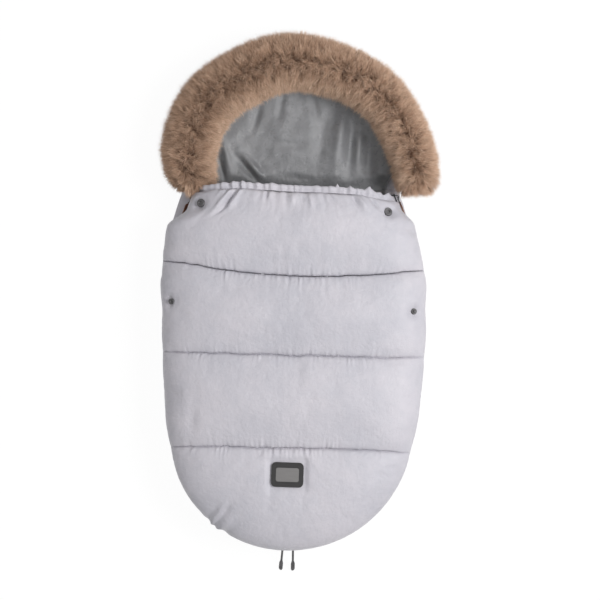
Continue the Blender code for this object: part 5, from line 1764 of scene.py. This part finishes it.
@dataclass
class FurTrim:
    """Horseshoe of fur: a skin with tufts of tapered hairs."""

    half: float = 0.2065
    length: float = 0.2285
    centre_x: float = 0.016
    end_y: float = 0.2045
    floor_z: float = 0.0606
    shares: tuple[float, ...] = (0.0, 0.03, 0.08, 0.24, 0.36, 0.5, 0.75, 0.94, 1.0)
    outer_half: tuple[float, ...] = (0.0165, 0.0248, 0.0335, 0.038, 0.035, 0.0325, 0.029, 0.027, 0.022)
    inner_half: tuple[float, ...] = (0.037, 0.039, 0.0362, 0.0365, 0.0395, 0.0372, 0.0318, 0.03, 0.03)
    sways: tuple[tuple[float, float], ...] = ((119.0, -0.008), (76.0, -0.0035), (50.0, 0.003))
    sway_turn: float = 17.0
    skin_height: float = 0.055
    power: float = 0.8
    hairs: int = 110000
    pieces: int = 5
    last_share: float = 0.99999
    tufts: Tufts = Tufts()
    hair_length: float = 0.0235
    hair_width: float = 0.0008
    samples: int = 400
    probe: float = 0.002
    skin_columns: int = 150
    skin_around: int = 26
    skin_scale: float = 0.97
    skin_tone: float = 0.1
    merge_gap: float = 0.0001
    overlap: float = 0.05
    cap_share: float = 0.055
    cap_spread: float = 0.35
    end_length: float = 0.02
    inside: Ramp = Ramp(0.62, 0.2)
    outside: Ramp = Ramp(-0.36, 0.2)
    parting: Ripple = Ripple(0.75, 0.022, 85.0)
    parting_row: float = 0.01
    parting_slope: float = 3.2
    comb: float = 0.85
    comb_outside: float = 0.6
    comb_inside: float = 0.6
    comb_end: float = 0.75
    round_share: float = 1.6
    calm_inside: float = 0.4
    calm_outside: float = 0.55
    stray: float = 0.38
    scatter: float = 0.2
    end_flow: tuple[float, float] = (0.8, 1.4)
    size_spread: float = 0.1
    size_range: tuple[float, float] = (0.72, 1.12)
    size_along: tuple[float, float, float] = (0.95, 1.0, 0.85)
    short_inside: float = 0.15
    short_end: float = 0.55
    gather: float = 0.45
    droop: float = 0.2
    curl: float = 0.0022
    twist: float = 0.25
    streaks: tuple[Ripple, ...] = (Ripple(1.0, 0.0032, 87.0), Ripple(0.6, 0.0075, 89.0))
    tone_middle: float = 0.51
    # painted light: how much lighter the hairs get per metre towards +X, the key lamp's side
    painted_light_across: float = 0.28
    tone_tuft: float = 0.1
    tone_streak: float = 0.36
    tone_hair: float = 0.09
    tone_inside: float = 0.08
    tone_root: float = 0.3
    tone_rise: float = 0.62
    # painted shade: how much darker hairs get the farther they stand from their tuft's middle
    painted_gap_shade: float = 0.14
    taper: float = 0.6
    lowest_z: float = 0.004
    rng: np.random.Generator = field(default_factory=lambda: np.random.default_rng(SEED))

    @cached_property
    def spine(self) -> tuple[Array, Array]:
        """Shares of the length and flat points of the middle line, from the left end to the right."""
        drop = (BAG.neck_y - self.end_y) / self.length
        angle = np.linspace(math.pi + drop, -drop, self.samples)
        reach = BAG.ring_reach(angle, self.half, self.length)
        for turn, size in self.sways:
            reach += size * bell(np.degrees(angle) - turn, self.sway_turn)
        points = np.stack([self.centre_x + reach * np.cos(angle), BAG.neck_y + reach * np.sin(angle)], -1)
        return lengths(points), points

    def section(self, s: Array, turn: Array, size: float = 1.0) -> tuple[Array, Array, Array, Array]:
        """Places on the skin.

        Args:
            s: share along the spine.
            turn: angle round the section, 0 at the outside and pi at the inside.
            size: scale of the section, 1 at the skin.

        Returns:
            Points, normals, the spine's direction and the direction away from the hood's middle.
        """
        gone, points = self.spine
        at = s * gone[-1]
        ahead, behind = (on_line(at + step, gone, points) for step in (self.probe, -self.probe))
        level = np.zeros(len(s))
        along = np.column_stack([unit(ahead - behind), level])
        out = np.stack([-along[:, 1], along[:, 0], level], -1)
        sides = (np.interp(s, self.shares, table) for table in (self.outer_half, self.inner_half))
        half = np.where(np.cos(turn) > 0, *sides) * size
        height = self.skin_height * size
        rise = np.maximum(np.sin(turn), 0)
        place = np.column_stack([on_line(at, gone, points), level + self.floor_z])
        place += out * (half * np.cos(turn))[:, None]
        place[:, 2] += height * rise**self.power
        normal = out * (np.cos(turn) / half)[:, None]
        normal[:, 2] += rise / height
        return place, unit(normal), along, out

    def skin(self) -> None:
        """The skin that the hairs grow from, closed at both ends."""
        mesh, own = unit_grid("fur_skin", self.skin_columns, self.skin_around)
        turn = (own[:, 1] + 1) / 2 * 2 * math.pi
        s = (own[:, 0] + 1) / 2
        upper = turn <= math.pi
        place, _, _, _ = self.section(s, np.where(upper, turn, 2 * math.pi - turn), self.skin_scale)
        place[~upper, 2] = self.floor_z
        place_all(mesh, place)
        close(mesh, self.merge_gap)
        self.shade(mesh, np.full(len(mesh.vertices), self.skin_tone))
        SHOP.settle(link("fur_skin", mesh), FUR, Body.BACK.value, ["fur_trim"])

    @staticmethod
    def shade(mesh: bpy.types.Mesh, values: Array) -> None:
        """Writes the tone of every vertex, which the fur's finish reads."""
        layer = mesh.attributes.new("tone", "FLOAT", "POINT")
        layer.data.foreach_set("value", values.astype(np.float32))

    def template(self) -> bmesh.types.BMesh:
        """One hair: a strip of three lengths that ends in a point. X is its side and Y its share along."""
        bm = bmesh.new()
        bmesh.ops.create_grid(bm, x_segments=1, y_segments=3, size=1)
        for vert in bm.verts:
            vert.co.y = (vert.co.y + 1) / 2
        tip = [vert for vert in bm.verts if vert.co.y > 1 - TINY]
        bmesh.ops.pointmerge(bm, verts=tip, merge_co=Vector((0, 1, 0)))
        return bm

    def roots(self) -> Roots:
        """Random roots on the skin, some of them on its two end faces."""
        count = self.hairs
        s = self.rng.random(count)
        turn = self.rng.uniform(-self.overlap, 1 + self.overlap, count) * math.pi
        place, normal, along, _ = self.section(s, np.clip(turn, 0, math.pi))
        caps = (self.rng.random(count) < self.cap_share)[:, None]
        shrink = np.sqrt(self.rng.random(count))
        last = np.where(s < 0.5, 0.0, 1.0)
        cap_place, _, cap_along, _ = self.section(last, np.clip(turn, 0, math.pi))
        gone, points = self.spine
        ends = np.where(last[:, None] > 0.5, points[-1], points[0])
        core = np.column_stack([ends, np.full(count, self.floor_z)])
        cap_place = core + (cap_place - core) * shrink[:, None]
        outward = cap_along * np.where(last > 0.5, 1.0, -1.0)[:, None]
        place = np.where(caps, cap_place, place)
        normal = np.where(caps, unit(outward + self.cap_spread * normal), normal)
        s = np.where(caps[:, 0], last, s)
        end = np.exp(-np.minimum(s, 1 - s) * gone[-1] / self.end_length)
        toward = along * np.where(s > 0.5, 1.0, -1.0)[:, None]
        return Roots(place, normal, np.where(caps, outward, toward), s, turn, end)

    def strands(self, roots: Roots) -> Strands:
        """Hairs combed away from a wandering parting, gathered in tufts and scattered."""
        s, turn, end, count = roots.share, roots.turn, roots.end, len(roots.share)
        length = self.spine[0][-1]
        _, _, along, out = self.section(s, np.clip(turn, 0, math.pi))
        inside, outside = self.inside.up(turn / math.pi), self.outside.up(-turn / math.pi)
        wander = self.parting.at(np.stack([s * length, turn * self.parting_row], -1))
        side = np.tanh((np.cos(turn) + wander) * self.parting_slope)
        down = out * (side * np.abs(np.sin(turn)))[:, None]
        down[:, 2] -= np.abs(np.cos(turn))
        around = np.interp(s, self.shares, self.outer_half) * self.round_share * turn
        grid = np.stack([s * length, around, np.zeros(count)], -1)
        lean, pull = self.tufts.of(grid)
        across = unit(np.cross(roots.normal, along))
        wild = (1 - self.calm_inside * inside) * (1 - self.calm_outside * outside)
        combed = (self.comb_outside + self.comb_inside * inside) * (1 - self.comb_end * end)
        direction = roots.normal + self.comb * down * combed[:, None]
        stray = self.stray * wild[:, None]
        direction += along * (stray * lean[:, :1]) + across * (stray * lean[:, 1:2])
        direction += self.scatter * self.rng.normal(size=(count, 3))
        direction += roots.toward * (np.where(s < 0.5, *self.end_flow) * end)[:, None]
        direction = unit(direction)
        size = self.hair_length * (1 + self.size_spread * lean[:, 2] * wild)
        size *= self.rng.uniform(*self.size_range, count)
        size *= np.interp(s, [0, 0.5, 1], self.size_along) * (1 - self.short_inside * inside)
        size *= 1 - self.short_end * end * (s < 0.5) * (np.cos(turn) > 0)
        bend = (along * pull[:, :1] - across * pull[:, 1:2]) * (self.gather * wild)[:, None]
        bend[:, 2] -= self.droop * size
        bend += self.curl * self.rng.normal(size=(count, 3))
        twist = self.twist * self.rng.normal(size=(count, 3))
        flatness = unit(np.cross(direction, roots.normal) + twist)
        # painted light: hairs are lighter towards +X, where the key lamp stands, and darker towards -X
        tone = self.tone_middle + self.painted_light_across * roots.place[:, 0] + self.tone_tuft * lean[:, 3]
        tone += self.tone_streak * uneven(grid, self.streaks) + self.tone_hair * self.rng.normal(size=count)
        tone += self.tone_inside * inside - self.tone_root
        # painted shade: hairs far from their tuft's middle are darkened, so the gaps between tufts look
        # shaded
        tone -= self.painted_gap_shade * np.linalg.norm(pull, axis=1) / self.tufts.size
        return Strands(direction, size, bend, flatness, tone)

    def build(self) -> None:
        """Makes the skin and the hairs, in a few pieces along the horseshoe."""
        self.skin()
        roots = self.roots()
        hairs = self.strands(roots)
        order = np.floor(roots.share * self.pieces * self.last_share).astype(int)
        for number in range(self.pieces):
            pick = np.nonzero(order == number)[0]
            name = f"fur_hairs_{number + 1}"
            mesh, own = copies(self.template(), len(pick), name)
            t, edge = own[:, 1], own[:, 0]
            width = self.hair_width * (1 - t) ** self.taper
            line = roots.place[pick, None]
            line = line + hairs.direction[pick, None] * (hairs.size[pick, None] * t)[..., None]
            line = line + hairs.bend[pick, None] * (t**2)[None, :, None]
            line = line + hairs.flatness[pick, None] * (edge * width / 2)[None, :, None]
            line[..., 2] = np.maximum(line[..., 2], self.lowest_z)
            place_all(mesh, line.reshape(-1, 3))
            self.shade(mesh, np.clip(t * self.tone_rise + hairs.tone[pick, None], 0, 1).ravel())
            SHOP.settle(link(name, mesh), FUR, Body.BACK.value)
        SHOP.dress("fur_backing", BACKING)


# Zips


@dataclass
class ZipTeeth:
    """Moulded teeth of one zip, with those of the back and of the cover in turn."""

    pitch: float = 0.0026
    tooth: tuple[float, float, float] = (0.0011, 0.0017, 0.004)
    edge: float = 0.0003
    inset: float = 0.003
    top_y: float = 0.181
    meet_x: float = -0.0112
    end_gap: float = 0.0015
    flap_gap: float = 0.002
    overlap: float = 0.0007
    tape_step: float = 0.012
    merge_gap: float = 0.00001

    def row(self, name: str, flat: Array, up: int, body: str) -> None:
        """One row of teeth on a body.

        Args:
            name: name of the piece.
            flat: points along the zip line, one for each tooth.
            up: 1 for teeth that hang from the cover, -1 for teeth that stand on the back.
            body: the body that carries them.
        """
        foot = np.stack([np.zeros(len(flat)), np.maximum(flat[:, 1], BAG.toe_centre_y)], -1)
        out = unit(flat - foot)
        place = flat - out * self.inset
        along = unit(np.gradient(place, axis=0))
        level = np.zeros(len(flat))
        rise = np.tile([0.0, 0.0, 1.0], (len(flat), 1))
        axes = np.stack([np.column_stack([along, level]), np.column_stack([out, level]), rise], 1)
        height = BAG.zip_z + up * (self.tooth[2] / 2 - self.overlap)
        origins = np.column_stack([place, np.full(len(flat), height)])
        teeth = place_copies(name, rounded_block(self.tooth, self.edge), origins, axes)
        SHOP.settle(teeth, NYLON, body)

    def build(self) -> None:
        """Makes the teeth of both sides."""
        for side in Side:
            end = (self.end_gap + side.value * self.meet_x) / BAG.toe_radius
            path = BAG.side_path(side.value, self.top_y, end, self.pitch / 2)
            split = float(SEAM_1.at(np.array(float(side.value))))
            self.row(f"zip_teeth_back_{side.word}", path[0::2], -1, Body.BACK.value)
            upper = path[1::2]
            cover = upper[upper[:, 1] < split - self.flap_gap]
            flap = upper[upper[:, 1] > split + self.flap_gap]
            self.row(f"zip_teeth_cover_{side.word}", cover, 1, Body.COVER.value)
            self.row(f"zip_teeth_flap_{side.word}", flap, 1, Body.FLAP.value)
            for node in (f"back_zip_{side.word}", f"cover_zip_{side.word}"):
                SHOP.dress(node, TAPE)
            self.flap_tape(side)

    def flap_tape(self, side: Side) -> None:
        """The flap's tape, with its long edges cut finer."""
        node = f"flap_zip_{side.word}"
        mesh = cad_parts[node].data.copy()
        bm = bmesh.new()
        bm.from_mesh(mesh)
        bmesh.ops.remove_doubles(bm, verts=bm.verts[:], dist=self.merge_gap)
        long_edges = [edge for edge in bm.edges if edge.calc_length() > self.tape_step]
        bmesh.ops.subdivide_edges(bm, edges=long_edges, cuts=3, use_grid_fill=True)
        bm.to_mesh(mesh)
        bm.free()
        tape = link(node + "_tape", mesh, False)
        SHOP.settle(tape, TAPE, Body.FLAP.value, [node])


# Stitches and hardware


@dataclass
class Stitches:
    """Rows of thread along the seams."""

    length: float = 0.0028
    pitch: float = 0.004
    thickness: float = 0.0006
    sink: float = 0.0026
    probe: float = 0.003
    reach_share: float = 0.93
    samples: int = 400

    def row(self, name: str, points: Array, ups: Array, finish: Finish, body: str) -> None:
        """One row of stitches along a line of points."""
        gone = lengths(points)
        at = np.arange(self.pitch / 2, gone[-1], self.pitch)
        middle, up = on_line(at, gone, points), unit(on_line(at, gone, ups))
        along = unit(np.gradient(middle, axis=0))
        across = unit(np.cross(up, along))
        axes = np.stack([along, across, np.cross(along, across)], 1)
        block = rounded_block((self.length, self.thickness, self.thickness), self.thickness * 0.3)
        piece = place_copies(name, block, middle, axes)
        SHOP.settle(piece, finish, body)

    def build(self) -> None:
        """Stitches in the two seams across the cover."""
        u = np.linspace(-self.reach_share, self.reach_share, self.samples)
        for name, seam in (("seam_2_stitches", SEAM_2), ("seam_3_stitches", SEAM_3)):
            flat = BAG.straight(seam, seam, u, 0.0)
            low = BAG.cover(flat, 0.0, BAG.valley)
            up = low - BAG.cover(flat, self.probe, BAG.valley)
            self.row(name, low - unit(up) * self.sink, up, THREAD_AND_SEAM_SHADE, Body.COVER.value)


class Hardware:
    """Metal, leather and rubber parts that keep their CAD shape."""

    snaps: tuple[str, ...] = ("snap_stud", "snap_stud_back", "snap_socket", "snap_socket_back")
    pulls: tuple[str, ...] = ("top_slider", "toe_slider", "top_pull_link", "toe_pull_link", "toe_pull_tab")

    def build(self) -> None:
        """Dresses every such node."""
        for side in Side:
            for kind in self.snaps + self.pulls:
                SHOP.dress(f"{kind}_{side.word}", GUNMETAL)
            SHOP.dress(f"top_pull_tab_{side.word}", LEATHER)
        SHOP.dress("badge_patch", RUBBER)
        SHOP.dress("badge_plate", PLATE)


# Studio


@dataclass(frozen=True)
class Studio:
    """White floor, soft lamps and a camera straight above."""

    camera_x: float = 0.0101
    camera_z: float = 3.075
    view_width: float = 1.068
    view_z: float = 0.075
    floor: float = 6.0
    floor_drop: float = 0.0005
    floor_tone: float = 0.86
    glow: float = 1.04
    glow_share: float = 0.91
    sky_strength: float = 0.42
    seen_sky: float = 0.58
    aim: tuple[float, float, float] = (0.0, 0.0, 0.05)
    lamps: tuple[tuple[str, tuple[float, float, float], float, float], ...] = (
        ("key", (1.45, 0.05, 2.2), 1.2, 50.0),
        ("fill", (-1.2, -1.4, 2.2), 2.0, 3.5),
    )

    def camera(self) -> None:
        """Sets the camera."""
        data = bpy.data.cameras.new("camera")
        data.sensor_width = 36.0
        data.lens = data.sensor_width * (self.camera_z - self.view_z) / self.view_width
        data.clip_start = 0.05
        data.clip_end = 50.0
        camera = bpy.data.objects.new("camera", data)
        camera.location = (self.camera_x, 0, self.camera_z)
        bpy.context.scene.collection.objects.link(camera)
        bpy.context.scene.camera = camera

    def lamp(self, name: str, place: Sequence[float], size: float, power: float) -> None:
        """Adds a square lamp aimed at the footmuff."""
        data = bpy.data.lights.new(name, "AREA")
        data.size = size
        data.energy = power
        lamp = bpy.data.objects.new(name, data)
        lamp.location = place
        way = Vector(self.aim) - Vector(place)
        lamp.rotation_euler = way.to_track_quat("-Z", "Y").to_euler()
        bpy.context.scene.collection.objects.link(lamp)

    @staticmethod
    def seen(n: Nodes) -> bpy.types.NodeSocket:
        """1 where the camera sees a thing, itself or mirrored."""
        rays = n.add("LightPath").outputs
        return n.math("MAXIMUM", rays["Is Camera Ray"], rays["Is Glossy Ray"])

    def ground(self) -> None:
        """Adds the floor, white to the camera but still shaded by the footmuff."""
        bm = bmesh.new()
        bmesh.ops.create_grid(bm, x_segments=1, y_segments=1, size=self.floor)
        bmesh.ops.translate(bm, vec=Vector((0, 0, -self.floor_drop)), verts=bm.verts)
        floor = link("floor", new_mesh("floor", bm), False)
        material = bpy.data.materials.new("floor")
        material.use_nodes = True
        n = Nodes(material.node_tree)
        plain = n.add("BsdfDiffuse", {"Color": (self.floor_tone,) * 3 + (1,)}).outputs[0]
        glow = n.add("Emission", {"Color": (1, 1, 1, 1), "Strength": self.glow}).outputs[0]
        share = n.math("MULTIPLY", self.seen(n), self.glow_share)
        mixed = n.add("MixShader", {0: share, 1: plain, 2: glow}).outputs[0]
        n.add("OutputMaterial", {"Surface": mixed})
        floor.data.materials.append(material)

    def sky(self) -> None:
        """Sets an even pale world."""
        world = bpy.data.worlds.new("studio")
        world.use_nodes = True
        n = Nodes(world.node_tree)
        strength = n.math("MULTIPLY_ADD", self.seen(n), self.seen_sky, self.sky_strength)
        sky = n.add("Background", {"Color": (1, 1, 1, 1), "Strength": strength})
        n.add("OutputWorld", {"Surface": sky.outputs[0]})
        bpy.context.scene.world = world

    def build(self) -> None:
        """Sets the whole studio."""
        self.camera()
        self.ground()
        self.sky()
        for lamp in self.lamps:
            self.lamp(*lamp)
        bpy.context.scene.view_settings.view_transform = "Standard"


LOWER_GATHERS = tuple(Gather(seam, 0.007, 0.008, 0.0054) for seam in (SEAM_2, SEAM_3))
COVER = QuiltPanel(
    "cover_quilt",
    Body.COVER,
    "cover_quilt",
    "cover_lining",
    (SEAM_1, SEAM_2, SEAM_3),
    True,
    (SEAM_1_GATHER, *LOWER_GATHERS),
    (
        Crease((-0.123, -0.379), (-0.101, -0.338), -0.004, 0.0026),
        Crease((-0.115, -0.374), (-0.091, -0.34), 0.0046, 0.004),
        Crease((-0.121, -0.379), (-0.085, -0.363), -0.004, 0.0026),
        Crease((-0.129, -0.37), (-0.113, -0.343), 0.003, 0.004),
        Crease((-0.113, -0.386), (-0.074, -0.374), 0.004, 0.0044),
        Crease((-0.156, -0.17), (-0.16, -0.248), 0.0026, 0.0085),
        Crease((0.112, -0.352), (0.15, -0.3), 0.0016, 0.009),
    ),
)
FLAP = QuiltPanel(
    "flap_quilt",
    Body.FLAP,
    "flap_quilt",
    "flap_lining",
    (HEM_SEAM.moved(-BAG.gap), SEAM_1.moved(JOIN_GAP / 2)),
    False,
    (HEM_GATHER, SEAM_1_GATHER),
    (
        Crease((-0.098, 0.194), (-0.122, 0.15), 0.0075, 0.0036),
        Crease((-0.108, 0.19), (-0.134, 0.146), -0.0046, 0.0046),
        Crease((-0.089, 0.19), (-0.111, 0.154), -0.0036, 0.004),
        Crease((-0.118, 0.184), (-0.174, 0.116), -0.0026, 0.009),
        Crease((-0.045, 0.192), (-0.046, 0.174), 0.0042, 0.0026),
        Crease((-0.002, 0.19), (-0.003, 0.166), -0.0034, 0.004),
        Crease((0.012, 0.188), (0.015, 0.168), 0.003, 0.003),
        Crease((0.024, 0.188), (0.029, 0.16), -0.003, 0.004),
        Crease((0.054, 0.187), (0.074, 0.164), 0.0036, 0.0034),
        Crease((0.096, 0.185), (0.109, 0.158), 0.0054, 0.0034),
        Crease((0.105, 0.184), (0.119, 0.16), -0.0032, 0.004),
        Crease((0.126, 0.182), (0.142, 0.158), 0.0042, 0.0034),
        Crease((0.16, 0.138), (0.184, 0.11), 0.0036, 0.007),
        Crease((0.168, 0.14), (0.188, 0.09), 0.0022, 0.008),
    ),
)


def main() -> None:
    """Builds the footmuff and its studio."""
    logging.basicConfig(level=logging.INFO, format="%(message)s")
    Studio().build()
    for part in (COVER, FLAP, GatheredHem(), Tub(), Hood(), FurTrim(), ZipTeeth(), Stitches(), Hardware()):
        part.build()


if __name__ == "__main__":
    main()
